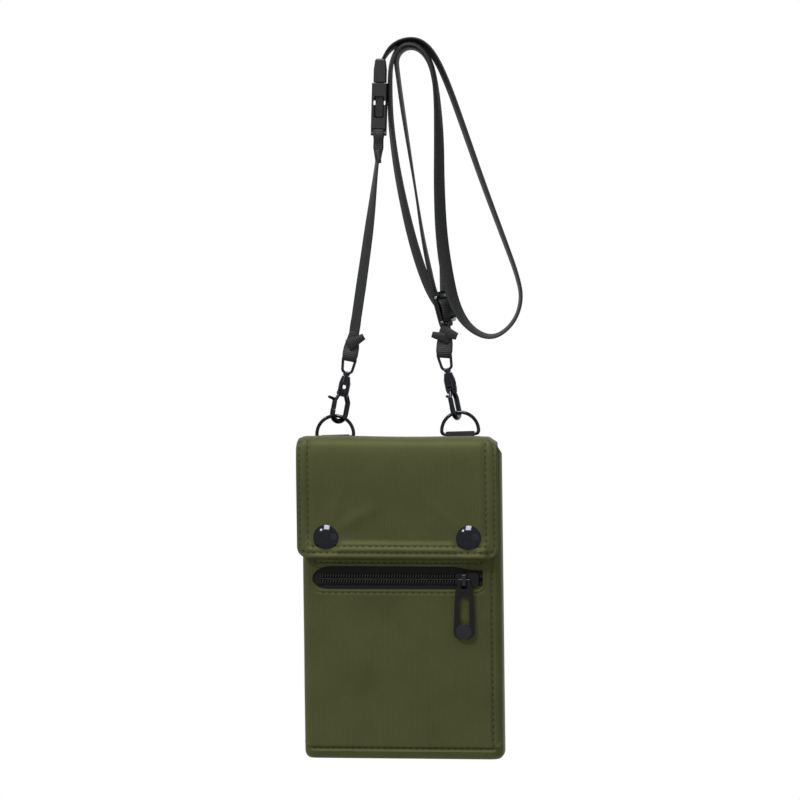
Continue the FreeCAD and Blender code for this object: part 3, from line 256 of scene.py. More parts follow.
def skin(tree, code, tones, share, relief, gloss):
    """What every finish ends in: a colour between two tones of a code, over a relief, with its gloss."""
    low, high = (linear(code, tone) for tone in tones)
    colour = add_node(tree, "ShaderNodeMix", {0: share, 6: low, 7: high}, 2, data_type="RGBA")
    normal = add_node(tree, "ShaderNodeBump", relief)
    shader = add_node(tree, "ShaderNodeBsdfPrincipled", {"Base Color": colour, "Normal": normal, **gloss})
    add_node(tree, "ShaderNodeOutputMaterial", {"Surface": shader})


def twill_material(name, code):
    """Woven nylon twill, pressed smooth: upright ribs, slow changes of tone and a faint sheen."""
    material, tree = new_material(name)
    place = add_node(tree, "ShaderNodeTexCoord", out="Object")
    # The real ribs are about 0.4 mm apart: they are drawn as coarse as they need to show
    ribs, weft = (
        add_node(tree, "ShaderNodeTexWave",
                 {"Vector": place, "Scale": bands(period), "Distortion": bend, "Detail": 1.0}, "Fac",
                 bands_direction=way)
        for period, bend, way in ((1.25 * MM, 0.6, "X"), (0.9 * MM, 0.5, "Z")))
    cloud = add_node(tree, "ShaderNodeTexNoise",
                     {"Vector": place, "Scale": 1 / (26 * MM), "Detail": 2.0}, "Fac")
    mottle = add_node(tree, "ShaderNodeMath", {0: ribs, 1: 0.25, 2: cloud}, operation="MULTIPLY_ADD")
    share = add_node(tree, "ShaderNodeMapRange", {"Value": mottle, "From Min": 0.28, "From Max": 0.82})
    cloth = add_node(tree, "ShaderNodeMath", {0: weft, 1: 0.4, 2: ribs}, operation="MULTIPLY_ADD")
    skin(tree, code, (0.88, 1.14), share, {"Strength": 0.35, "Distance": 0.12 * MM, "Height": cloth}, {
        "Roughness": 0.55, "Specular IOR Level": 0.16, "Specular Tint": linear("#ccd28a"),
        "Sheen Weight": 0.05, "Sheen Roughness": 0.4, "Sheen Tint": linear("#a7ad78")})
    return material


def woven_material(name, code, period, specular):
    """Plain close weave of filament yarn, such as lining, tape or thread: matt, with crossing yarns."""
    material, tree = new_material(name)
    place = add_node(tree, "ShaderNodeTexCoord", out="Object")
    # The real yarns are about half as far apart: they are drawn as coarse as they need to show
    wave = {"Vector": place, "Scale": bands(period), "Distortion": 0.4, "Detail": 1.0}
    slant = add_node(tree, "ShaderNodeTexWave", wave, "Fac", bands_direction="DIAGONAL")
    level = add_node(tree, "ShaderNodeTexWave", wave, "Fac", bands_direction="Z")
    yarns = add_node(tree, "ShaderNodeMath", {0: level, 1: 0.6, 2: slant}, operation="MULTIPLY_ADD")
    share = add_node(tree, "ShaderNodeMapRange", {"Value": yarns, "From Min": 0.2})
    skin(tree, code, (0.85, 1.12), share, {"Strength": 0.4, "Distance": period * 0.12, "Height": yarns},
         {"Roughness": 0.75, "Specular IOR Level": specular})
    return material


def webbing_material(name, code):
    """Woven nylon webbing: cross ribs along the length, on the strip's own across and along map."""
    material, tree = new_material(name)
    flat = add_node(tree, "ShaderNodeTexCoord", out="UV")
    # The real ribs are about 0.5 mm apart: they are drawn as coarse as they need to show
    ribs = add_node(tree, "ShaderNodeTexWave",
                    {"Vector": flat, "Scale": bands(1.0 * MM), "Detail": 1.0}, "Fac", bands_direction="Y")
    fuzz = add_node(tree, "ShaderNodeTexNoise",
                    {"Vector": flat, "Scale": 1 / (1.1 * MM), "Detail": 2.0}, "Fac")
    yarns = add_node(tree, "ShaderNodeMath", {0: ribs, 1: 1.0, 2: fuzz}, operation="MULTIPLY_ADD")
    share = add_node(tree, "ShaderNodeMapRange", {"Value": yarns, "From Min": 0.3})
    skin(tree, code, (0.9, 1.12), share, {"Strength": 0.5, "Distance": 0.22 * MM, "Height": yarns},
         {"Roughness": 0.55, "Specular IOR Level": 0.15})
    return material


def grain_material(name, code, size, smooth, rough, depth, edge=0.0, metallic=0.0, specular=0.5):
    """Plated, enamelled or moulded skin: a fine grain in its tone, gloss and surface, over soft edges."""
    material, tree = new_material(name)
    place = add_node(tree, "ShaderNodeTexCoord", out="Object")
    grain = add_node(tree, "ShaderNodeTexNoise", {"Vector": place, "Scale": 1 / size, "Detail": 2.0}, "Fac")
    spread = {"Value": grain, "From Min": 0.3, "From Max": 0.7}
    share = add_node(tree, "ShaderNodeMapRange", spread)
    gloss = add_node(tree, "ShaderNodeMapRange", {**spread, "To Min": smooth, "To Max": rough})
    relief = {"Strength": 0.25, "Distance": depth, "Height": grain}
    if edge:
        relief["Normal"] = add_node(tree, "ShaderNodeBevel", {"Radius": edge}, samples=4)
    skin(tree, code, (0.9, 1.1), share, relief,
         {"Roughness": gloss, "Metallic": metallic, "Specular IOR Level": specular})
    return material


# Grain, period, depth and edge are lengths as drawn, and the gloss runs from smooth to rough
FINISHES = {
    # Matt olive cloth whose ribs show in a low light
    "twill": (twill_material, "Olive nylon twill", {}),
    # Darker thin cloth with hardly any shine
    "lining": (woven_material, "Olive nylon lining", {"period": 0.6 * MM, "specular": 0.5}),
    # Twisted thread that reads as short bars, coloured dark as painted shade: the shade of the needle holes,
    # on thread that is olive like the cloth
    "thread": (woven_material, "Thread painted with needle-hole shade", {"period": 0.3 * MM, "specular": 0.2}),
    # Soft black strap with even cross ribs
    "webbing": (webbing_material, "Black nylon webbing", {}),
    # Flat black band that stays darker than the strap
    "tape": (woven_material, "Black polyester tape", {"period": 0.7 * MM, "specular": 0.15}),
    # Extruded loops, each with a dull highlight
    "coil": (grain_material, "Black nylon coil", {
        "size": 0.8 * MM, "smooth": 0.38, "rough": 0.5, "depth": 0.02 * MM, "specular": 0.2}),
    # Tumbled and plated wire and caps: dark mirrors with soft edges
    "nickel": (grain_material, "Black nickel plate", {
        "size": 2.0 * MM, "smooth": 0.08, "rough": 0.14, "depth": 0.004 * MM, "edge": 0.1 * MM,
        "metallic": 1.0}),
    # Pale metal on the adjuster's end bars: a painted highlight for the glints where its dark glossy bars
    # catch the light
    "bright": (grain_material, "Pale nickel for painted glints", {
        "size": 2.0 * MM, "smooth": 0.12, "rough": 0.2, "depth": 0.004 * MM, "edge": 0.1 * MM,
        "metallic": 1.0}),
    # Sprayed black on die-cast zinc: satin, with thin bright edges
    "enamel": (grain_material, "Black enamelled zinc", {
        "size": 0.9 * MM, "smooth": 0.24, "rough": 0.34, "depth": 0.01 * MM, "edge": 0.15 * MM,
        "specular": 0.15}),
    # The same enamel painted a lighter bluish grey on its fronts: painted light where they face the lamps
    "painted_lit_enamel": (grain_material, "Black enamel with painted light", {
        "size": 0.9 * MM, "smooth": 0.3, "rough": 0.42, "depth": 0.01 * MM, "edge": 0.15 * MM,
        "specular": 0.15}),
    # Moulded with a fine spark-eroded skin: dull, with soft edges
    "plastic": (grain_material, "Black acetal", {
        "size": 0.6 * MM, "smooth": 0.36, "rough": 0.5, "depth": 0.02 * MM, "edge": 0.2 * MM,
        "specular": 0.25}),
}


def materials():
    """All finishes by their short names, made on first use."""
    colours = bpy.context.scene.pouch_colours
    return {key: bpy.data.materials.get(name) or make(name, getattr(colours, key), **values)
            for key, (make, name, values) in FINISHES.items()}


# Meshes

def new_object(name, verts, faces, finish, uvs=None, smooth=True):
    """A mesh object in the scene, with a finish and, for webbing, its map."""
    mesh = bpy.data.meshes.new(name)
    mesh.from_pydata([tuple(v) for v in verts], [], [tuple(f) for f in faces])
    mesh.validate()
    if uvs is not None:
        layer = mesh.uv_layers.new(name="across_along")
        index = np.zeros(len(mesh.loops), np.int32)
        mesh.loops.foreach_get("vertex_index", index)
        layer.data.foreach_set("uv", np.asarray(uvs, np.float32)[index].ravel())
    mesh.polygons.foreach_set("use_smooth", [smooth] * len(mesh.polygons))
    made = bpy.data.objects.new(name, mesh)
    bpy.context.scene.collection.objects.link(made)
    made.data.materials.append(finish)
    return made


def grid_faces(rows, columns, start=0, wrap=False, flip=False):
    """Quads of a rows by columns grid of vertices."""
    faces = []
    for r in range(rows - 1):
        for c in range(columns if wrap else columns - 1):
            a = start + r * columns + c
            b = start + r * columns + (c + 1) % columns
            quad = (a, b, b + columns, a + columns)
            faces.append(quad[::-1] if flip else quad)
    return faces


def tube_faces(rings, sides, start=0, flip=False):
    """Quads round a row of rings, and a face on each end."""
    last = start + (rings - 1) * sides
    ends = [list(range(start, start + sides))[::-1], list(range(last, last + sides))]
    return grid_faces(rings, sides, start, True, flip) + [end[::-1] if flip else end for end in ends]


def lid_faces(columns, start, flip=False):
    """Quads across a ring of vertices that runs along a front row and back along a back row."""
    last = start + 2 * columns - 1
    quads = [(start + c, start + c + 1, last - 1 - c, last - c) for c in range(columns - 1)]
    return quads if flip else [quad[::-1] for quad in quads]


def smooth_step(value, low, high):
    """0 below low, 1 above high and smooth between."""
    t = np.clip((value - low) / (high - low), 0, 1)
    return t * t * (3 - 2 * t)


def bump_line(value, middle, width):
    """1 at the middle, fading to 0 over a width."""
    return np.exp(-((value - middle) / width) ** 2)


def unit(rows):
    """Directions of a length of 1."""
    return rows / np.maximum(np.linalg.norm(rows, axis=-1, keepdims=True), 1e-12)


def circle(count):
    """Angles of evenly spaced points on a circle."""
    return np.linspace(0, 2 * math.pi, count, endpoint=False)


def distances(line):
    """How far along a line each of its points is."""
    return np.concatenate([[0], np.cumsum(np.linalg.norm(np.diff(line, axis=0), axis=1))])


def sample(rows, along, where):
    """Points or directions at distances along a line."""
    return np.stack([np.interp(where, along, rows[:, k]) for k in range(3)], axis=-1)


def join(objects):
    """Joins meshes into the first one, keeping each one's finish."""
    bpy.ops.object.select_all(action="DESELECT")
    for item in objects:
        item.select_set(True)
    bpy.context.view_layer.objects.active = objects[0]
    bpy.ops.object.join()
    return objects[0]


def dress(made, body, slot, *nodes):
    """A piece that rides on a body in place of CAD nodes."""
    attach(made, body)
    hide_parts(*nodes)
    return made


# Dark bars a pitch apart: their dark colour is painted shade of the needle holes
STITCH_PITCH = 0.0036
STITCH_LENGTH = 0.0018
STITCH_R = 0.00036
STITCH_SIDES = 6
# Rings of one stitch: place along it, width and lift, as shares of its length and radius
STITCH_RINGS = ((-0.5, 0.25, -0.6), (-0.3, 1.0, 0.1), (0.3, 1.0, 0.1), (0.5, 0.25, -0.6))


def stitches(name, points, normals, finish):
    """Rows of sewn thread: a small rounded bar every pitch along a line on a surface."""
    points = np.asarray(points, float)
    normals = np.asarray(normals, float)
    along = distances(points)
    verts, faces = [], []
    for i in range(max(1, int(along[-1] / STITCH_PITCH))):
        at = (i + 0.5) * STITCH_PITCH
        here = sample(points, along, at)
        way = unit(sample(points, along, min(at + STITCH_PITCH / 4, along[-1])) - here)
        side = unit(np.cross(way, sample(normals, along, at)))
        up = np.cross(side, way)
        faces += tube_faces(len(STITCH_RINGS), STITCH_SIDES, len(verts))
        for shift, wide, lift in STITCH_RINGS:
            centre = here + way * shift * STITCH_LENGTH + up * lift * STITCH_R
            for angle in circle(STITCH_SIDES):
                verts.append(centre + (side * math.cos(angle) + up * math.sin(angle)) * STITCH_R * wide)
    return new_object(name, verts, faces, finish)


# Webbing

def route_line(points):
    """Points along the spline of a route."""
    curve = bpy.data.curves.new("route", "CURVE")
    curve.dimensions = "3D"
    curve.resolution_u = 24
    spline = curve.splines.new("NURBS")
    spline.points.add(len(points) - 1)
    for point, corner in zip(spline.points, points):
        point.co = (*corner, 1.0)
    spline.order_u = 3
    spline.use_endpoint_u = True
    holder = bpy.data.objects.new("route", curve)
    mesh = bpy.data.meshes.new_from_object(holder)
    line = np.array([v.co for v in mesh.vertices], float)
    bpy.data.objects.remove(holder)
    bpy.data.meshes.remove(mesh)
    bpy.data.curves.remove(curve)
    return line


def even_line(line, step):
    """The same line with points evenly apart, and how far along each one is."""
    along = distances(line)
    at = np.linspace(0, along[-1], max(3, int(along[-1] / step) + 1))
    return sample(line, along, at), at


# Half of webbing's outline, as shares of its width and thickness: the other half is the same turned round
HALF_SECTION = [(-0.5, 0.0), (-0.48, 0.36), (-0.44, 0.5), (0.0, 0.5), (0.44, 0.5), (0.48, 0.36)]
SECTION = HALF_SECTION + [(-a, -b) for a, b in HALF_SECTION]


def strip(name, line, at, across, width, finish, thick=STRAP_T):
    """Flat webbing with rounded edges: across is the width's direction, at each point or all along."""
    tangent = unit(np.gradient(line, axis=0))
    across = np.broadcast_to(np.asarray(across, float), line.shape)
    across = unit(across - tangent * (across * tangent).sum(1)[:, None])
    normal = np.cross(tangent, across)
    width = np.broadcast_to(np.asarray(width, float), (len(line),))
    verts = np.zeros((len(line), len(SECTION), 3))
    uvs = np.zeros((len(line), len(SECTION), 2))
    for k, (a, b) in enumerate(SECTION):
        verts[:, k] = line + across * (a * width)[:, None] + normal * (b * thick)
        uvs[:, k, 0] = a * width
        uvs[:, k, 1] = at
    faces = tube_faces(len(line), len(SECTION))
    return new_object(name, verts.reshape(-1, 3), faces, finish, uvs.reshape(-1, 2))


# Points within which the next corner of a route is looked for, and over which a twist is eased to each side
TWIST_REACH = 160
TWIST_EASE = 6


def twisted(line, route):
    """Width direction that turns from on edge (0 degrees) to face on (90), by the twist at each corner."""
    tangent = unit(np.gradient(line, axis=0))
    depth = np.array(DEPTH)
    aside = unit(np.cross(depth, tangent))
    along, after = [], 0
    for x, _, z, _ in route:
        away = np.hypot(line[after:, 0] - x, line[after:, 2] - z)
        after += int(np.argmin(away[:TWIST_REACH]))
        along.append(after)
    angle = np.radians(np.interp(np.arange(len(line)), along, [corner[3] for corner in route]))
    count = 2 * TWIST_EASE + 1
    angle = np.convolve(np.pad(angle, TWIST_EASE, mode="edge"), np.ones(count) / count, mode="valid")
    return depth * np.cos(angle)[:, None] + aside * np.sin(angle)[:, None]


def lean_axes(lean):
    """Up and across of a piece that leans to the right by an angle."""
    return (Vector((math.sin(lean), 0, math.cos(lean))), Vector((math.cos(lean), 0, -math.sin(lean))))


class POUCH_OT_strap(bpy.types.Operator):
    """Webbing strap with its sewn ends"""
    bl_idname = "pouch.strap"
    bl_label = "Strap"

    def execute(self, context):
        finish = materials()["webbing"]
        self.long_run(finish)
        self.loop_run(finish)
        self.left_run(finish)
        self.ends(finish)
        return {"FINISHED"}

    def long_run(self, finish):
        """From the buckle's plug over the peg, round the hanging bight, over again and to the adjuster."""
        depth = [0.0] * 4 + [0.001] * 9 + [-0.002] * 7 + [-0.003] * 3 + [-0.001] * 6 + [0.0015]
        aside = [0.0008, 0.0008, 0.0, -0.0010, -0.0019, -0.0014, -0.0006] + [0.0] * 10
        aside += [0.0002, 0.0006, 0.0008, 0.0006] + [0.0] * 9
        lower = [0.0014, 0.0020, 0.0018, 0.0015, 0.0004] + [0.0] * 25
        route = [(-0.0159, 0.0, -0.0080, 8)]
        route += [(x + right, y, z - drop, twist)
                  for (x, z, twist), y, right, drop in zip(ROUTE_LONG, depth, aside, lower)]
        route += [(0.0160, 0.0032, -0.1430, 34)]
        made = self.run("webbing_long", "strap_long", route, "hanging", finish,
                        [(0, 0.0036), (0.004, 0.0044), (0.012, STRAP_W)])
        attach(made, "strap")

    def loop_run(self, finish):
        """The second loop, from the adjuster over the peg and back behind the long run."""
        aside = [0.0] * 7 + [-0.0012, -0.0012, 0.0, 0.0010, 0.0018] + [0.0024] * 3 + [0.0022, 0.0008]
        depth = [0.0] * 6 + [0.001, 0.002, 0.003, 0.003, 0.004] + [0.0045] * 5 + [0.004]
        route = [(0.0164, 0.0036, -0.1415, 8)]
        route += [(x + right, y, z, twist) for (x, z, twist), right, y in zip(ROUTE_LOOP, aside, depth)]
        made = self.run("webbing_loop", "strap_loop", route, "hanging", finish, [(0, STRAP_W)])
        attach(made, "strap")

    def left_run(self, finish):
        """From the left sewn end up to the buckle."""
        route = [(-0.0318, 0.0, -0.1622, -84)] + [(x, 0.0, z, twist) for x, z, twist in ROUTE_LEFT]
        route += [(-0.01795, 0.0, -0.0605, -14)]
        made = self.run("webbing_left", "strap_left", route, "taut", finish,
                        [(0, 0.0058), (0.008, 0.0072), (0.030, STRAP_W)])
        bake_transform(made)

    def run(self, name, node, route, lay, finish, widths):
        """Webbing along a route: widths are pairs of a distance along it and the width there."""
        line, at = even_line(route_line([corner[:3] for corner in route]), STRAP_STEP)
        made = strip(name, line, at, twisted(line, route), np.interp(at, *zip(*widths)), finish)
        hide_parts(node)
        return made

    def ends(self, finish):
        """Folded and sewn ends: left eye, right eye to adjuster, below the buckle, and in the adjuster."""
        up, _ = lean_axes(EYE_LEAN)
        left = join(self.fold(
            "webbing_end_left", EYE_BARS[0], up, LEFT_END, EYE_BAR_R, finish,
            [(0, 0.0080), (0.12, 0.0086), (0.4, 0.0086), (0.75, 0.0066), (1, 0.0052)],
            [(1, 0.56, 50, 0.0078, 0.0066)]))
        dress(left, "strap", "webbing", "strap_end_left")
        adjuster_up, _ = lean_axes(ADJUSTER_LEAN)
        high = ADJUSTER - adjuster_up * RIGHT_END_BELOW - Vector((RIGHT_END_ASIDE, 0, 0))
        rise = high - EYE_BARS[1]
        right, *tails = self.fold(
            "webbing_end_right", EYE_BARS[1], rise.normalized(), rise.length, EYE_BAR_R, finish,
            [(0, 0.0082), (0.1, 0.0090), (0.34, 0.0090), (0.7, 0.0072), (1, 0.0044)],
            [(1, 0.72, 107, 0.0072, 0.0074), (-1, 0.54, 80, 0.0074, 0.0062)])
        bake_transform(right)
        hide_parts("strap_end_right")
        # The tails stay on the strap, so that they don't stretch when the adjuster slides
        loose = join(tails)
        loose.name = "webbing_tails_right"
        dress(loose, "strap", "webbing", "strap_end_right")
        down, _ = lean_axes(BUCKLE_LEAN + math.pi)
        buckle = join(self.fold(
            "webbing_end_buckle", BUCKLE_BAR, down, BUCKLE_END, BUCKLE_BAR_R, finish,
            [(0, 0.0062), (0.2, 0.0054), (0.5, 0.0058), (0.75, 0.0042), (1, 0.0028)],
            [(-1, 0.74, 16, 0.0050, 0.0034)], over=1.7))
        dress(buckle, "buckle_socket", "webbing", "strap_end_buckle")
        self.threaded(adjuster_up, finish)

    def threaded(self, up, finish):
        """Webbing through the adjuster: behind its end bars and over its middle bar."""
        _, flat = lean_axes(ADJUSTER_LEAN)
        across = flat * math.cos(ADJUSTER_TURN) + DEPTH * math.sin(ADJUSTER_TURN)
        front = flat * math.sin(ADJUSTER_TURN) - DEPTH * math.cos(ADJUSTER_TURN)
        shape = [(-0.0018, 0.0100), (-0.0018, 0.0076), (-0.0004, 0.0054), (0.0018, 0.0034), (0.0019, 0.0),
                 (0.0018, -0.0034), (-0.0004, -0.0054), (-0.0018, -0.0076), (-0.0020, -0.0098),
                 (-0.0032, -0.0098), (-0.0034, -0.0070), (-0.0034, 0.0), (-0.0034, 0.0090)]
        line, at = even_line(route_line([tuple(ADJUSTER + front * v + up * w) for v, w in shape]), FOLD_STEP)
        made = strip("webbing_threaded", line, at, across, THREADED_W, finish)
        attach(made, "adjuster")

    def fold(self, name, bar, up, length, bar_r, finish, widths, tails, over=1.0):
        """Webbing gathered round a bar and doubled along up, then its raw tails, which stand off to a side.

        Widths are pairs of a share of the length and the width there. A tail is its side, the share of the
        length where it starts, its turn from up in degrees, its reach and its width.
        """
        across = DEPTH.cross(up).normalized()
        ring = bar_r + BAR_ROOM + STRAP_T / 2
        layer = STRAP_T * 0.55
        front = [(layer, length), (layer, length * 0.6), (layer, length * 0.36), (ring, 0.002), (ring, 0.0),
                 (ring * 0.8, -ring * 0.7 * over)]
        shape = front + [(0.0, -ring * over)] + [(-y, w) for y, w in front[::-1]]
        line, at = even_line(route_line([tuple(bar + DEPTH * y + up * w) for y, w in shape]), FOLD_STEP)
        above = (line - np.array(bar)) @ np.array(up)
        pieces = [strip(name, line, at, across, np.interp(above / length, *zip(*widths)), finish)]
        for i, (side, share_up, turn, reach, broad) in enumerate(tails):
            angle = math.radians(turn)
            root = bar + up * (length * share_up) - DEPTH * (layer + STRAP_T * 0.8)
            way = across * side * math.sin(angle) + up * math.cos(angle)
            ends = [root - way * TAIL_ROOT, root + way * reach * 0.4 - DEPTH * TAIL_BEND,
                    root + way * reach - DEPTH * TAIL_TIP]
            line, at = even_line(route_line([tuple(end) for end in ends]), FOLD_STEP)
            narrow = np.linspace(broad, broad * 0.55, len(line))
            pieces.append(strip(name + "_tail%d" % i, line, at, DEPTH.cross(way), narrow, finish))
        return pieces


# Pouch body

def hang(x, z, level):
    """The pouch hangs a little askew: place across at a height, moved most away from a level."""
    return x + (level - z) * SKEW


def body_columns(half, radius):
    """Places across the width, closer together towards the rolled sides."""
    flat = half - radius
    field = half - 0.012
    right = flat + radius * np.sin(np.linspace(0, math.pi / 2, 10))
    middle = np.concatenate([np.linspace(-flat, -field, 14)[1:], np.linspace(-field, field, 76)[1:],
                             np.linspace(field, flat, 24)[1:-1]])
    return np.concatenate([-right[::-1], middle, right])


def body_levels():
    """Heights of the rings, closer together at the bottom seam and the zip window."""
    levels = [np.arange(0.0045, 0.012, 0.0004), np.arange(0.012, 0.088, 0.002),
              np.arange(0.088, 0.1125, 0.0005), np.arange(0.1125, MOUTH, 0.002), [MOUTH]]
    return np.unique(np.round(np.concatenate(levels), 6))


def outline(half, front, back, radius, xs):
    """Depth of the front and of the back at places across a rounded box seen from above."""
    reach = np.clip((np.abs(xs) - (half - radius)) / radius, 0, 1)
    rounding = radius * (1 - np.sqrt(np.maximum(0, 1 - reach ** 2)))
    return front + rounding, back - rounding


def window_distance(x, z):
    """Distance outside the zip window's edge (less than 0 inside), in the pouch's frame."""
    dx = np.abs(x - (FLAP_X - POUCH_X)) - (WINDOW_HALF_X - WINDOW_CORNER)
    dz = np.abs(z - ZIP_Z - WINDOW_RISE) - (WINDOW_HALF_Z - WINDOW_CORNER)
    outside = np.sqrt(np.maximum(dx, 0) ** 2 + np.maximum(dz, 0) ** 2)
    return outside + np.minimum(np.maximum(dx, dz), 0) - WINDOW_CORNER


def front_relief(x, z, half):
    """Seams pressed into the front, forward being less than 0."""
    face = smooth_step(half - np.abs(x), 0.0, 0.004)
    groove = 0.0010 * bump_line(z, SEAM_LOW, 0.0007) * face
    ridge = 0.0008 * bump_line(z, 0.0042 + 0.005 * smooth_step(np.abs(x), 0.0500, 0.0556), 0.0009)
    ends = smooth_step(z, 0.004, 0.008) * (1 - smooth_step(z, 0.15, 0.16))
    side = 0.0007 * bump_line(x, SEAM_SIDE, 0.0008) * ends
    edge = window_distance(x, z)
    lip = 0.0008 * bump_line(np.maximum(edge, 0), 0.0, 0.0008)
    box = 0.0006 * bump_line(edge, 0.0019, 0.0006) * (np.abs(x) < 0.052)
    return groove - ridge + side + lip + box


def shell_rings(inset, detail, front, back, top):
    """Rings of the bag from its bottom edge to its mouth, as (front row, back row) pairs."""
    half = HALF_W - inset
    radius = PLAN_R - inset
    foot = FOOT_R - inset
    quarter = np.linspace(0, math.pi / 2, 8)
    levels = [(inset + foot * (1 - math.cos(a)), foot * (1 - math.sin(a))) for a in quarter]
    levels += [(z, 0.0) for z in body_levels() if z > inset + foot + 0.0002]
    xs = body_columns(half, radius)
    flat_front, flat_back = outline(half, front, back, radius, xs)
    middle = (front + back) / 2
    rings = []
    for z, pull in levels:
        # The bottom corners are rounder at the right
        tight = np.where(xs < 0, 0.55, 0.8)
        corner = max(0.0, (FOOT_CORNER - z) / FOOT_CORNER)
        x = xs * ((half - pull * tight) / half) * (1 - 0.014 * tight * corner ** 2)
        y_front = flat_front + np.minimum(pull, (middle - flat_front) * 0.9)
        y_back = flat_back - np.minimum(pull, (flat_back - middle) * 0.9)
        # The cloth bellies out, with a slow wave in it
        belly = settings().sag * np.cos(np.clip(x / half, -1, 1) * math.pi / 2) ** 0.8
        slack = np.sin(math.pi * np.clip((z - 0.002) / 0.165, 0, 1)) ** 0.7
        wave = 0.0003 * np.sin(x * 95 + z * 40) + 0.00025 * np.sin(z * 120 - x * 55)
        y_front = y_front - (belly * (0.65 + 0.35 * math.cos(z * 18)) + wave) * slack
        y_back = y_back + belly * slack * 0.25
        if detail:
            y_front = y_front + front_relief(x, z, half)
        # Towards the mouth the back rises over the front, less at its ends, and the right corner droops
        near_mouth = max(0.0, (z - MOUTH_NEAR) / (MOUTH - MOUTH_NEAR))
        side = half - np.abs(x)
        height = z - 0.0018 * near_mouth * (1 - smooth_step(half - x, 0.0, 0.004))
        rise = (top - MOUTH) * near_mouth * (1 - 0.4 * (1 - smooth_step(side, 0.0, 0.0011)))
        rise = rise * (1 - 0.7 * (1 - smooth_step(half - x, 0.0, 0.006)))
        front_rise = rise * 0.93 * (1 - smooth_step(side, 0.0, 0.0065))
        back_rise = rise * (0.93 + 0.07 * smooth_step(side, 0.0, radius))
        rings.append((np.stack([x, y_front, height + front_rise], 1),
                      np.stack([x, y_back, height + back_rise], 1)))
    return rings


def shell_mesh(name, outer, inner, finish):
    """Closed shell from outer and inner rings, with a rim at the mouth."""
    columns = len(outer[0][0])
    size = 2 * columns
    verts, faces, tops = [], [], []
    for layer, flip in ((outer, False), (inner, True)):
        start = len(verts)
        for front_row, back_row in layer:
            verts += list(front_row) + list(back_row[::-1])
        faces += grid_faces(len(layer), size, start, wrap=True, flip=flip)
        faces += lid_faces(columns, start, flip)
        tops.append(start + (len(layer) - 1) * size)
    for c in range(size):
        after = (c + 1) % size
        faces.append((tops[0] + c, tops[0] + after, tops[1] + after, tops[1] + c))
    places = [(hang(v[0], v[2], ZIP_Z) + POUCH_X, v[1], v[2] + POUCH_LOW) for v in verts]
    return new_object(name, places, faces, finish)


def window_cutter():
    """Prism of the zip window's outline: blunt nose at the left, squarer and narrower at the right."""
    left = FLAP_X - WINDOW_HALF_X - WINDOW_LONGER
    right = FLAP_X + WINDOW_HALF_X
    z = POUCH_LOW + ZIP_Z + WINDOW_RISE
    points = [(left + WINDOW_NOSE - WINDOW_NOSE * abs(math.cos(a)) ** 0.85,
               z + WINDOW_HALF_Z * math.sin(a) - WINDOW_SAG * abs(math.cos(a)))
              for a in np.linspace(math.pi / 2, 3 * math.pi / 2, 21)]
    points += [(right + across, z + up) for across, up in WINDOW_RIGHT]
    verts = [(x, FRONT_Y + depth, h) for depth in WINDOW_DEPTHS for x, h in points]
    faces = tube_faces(2, len(points), flip=True)
    return new_object("window_cutter", verts, faces, materials()["twill"], smooth=False)


def cut_window(shell):
    """Cuts the zip window out of the front, and stops if that fails."""
    cutter = window_cutter()
    before = len(shell.data.polygons)
    modifier = shell.modifiers.new("window", "BOOLEAN")
    modifier.object = cutter
    modifier.operation = "DIFFERENCE"
    modifier.solver = "EXACT"
    bpy.context.view_layer.update()
    cut = bpy.data.meshes.new_from_object(shell.evaluated_get(bpy.context.evaluated_depsgraph_get()))
    shell.modifiers.clear()
    old = shell.data
    shell.data = cut
    bpy.data.meshes.remove(old)
    bpy.data.objects.remove(cutter)
    if not before * 0.5 < len(cut.polygons) < before:
        raise RuntimeError("the zip window did not cut")


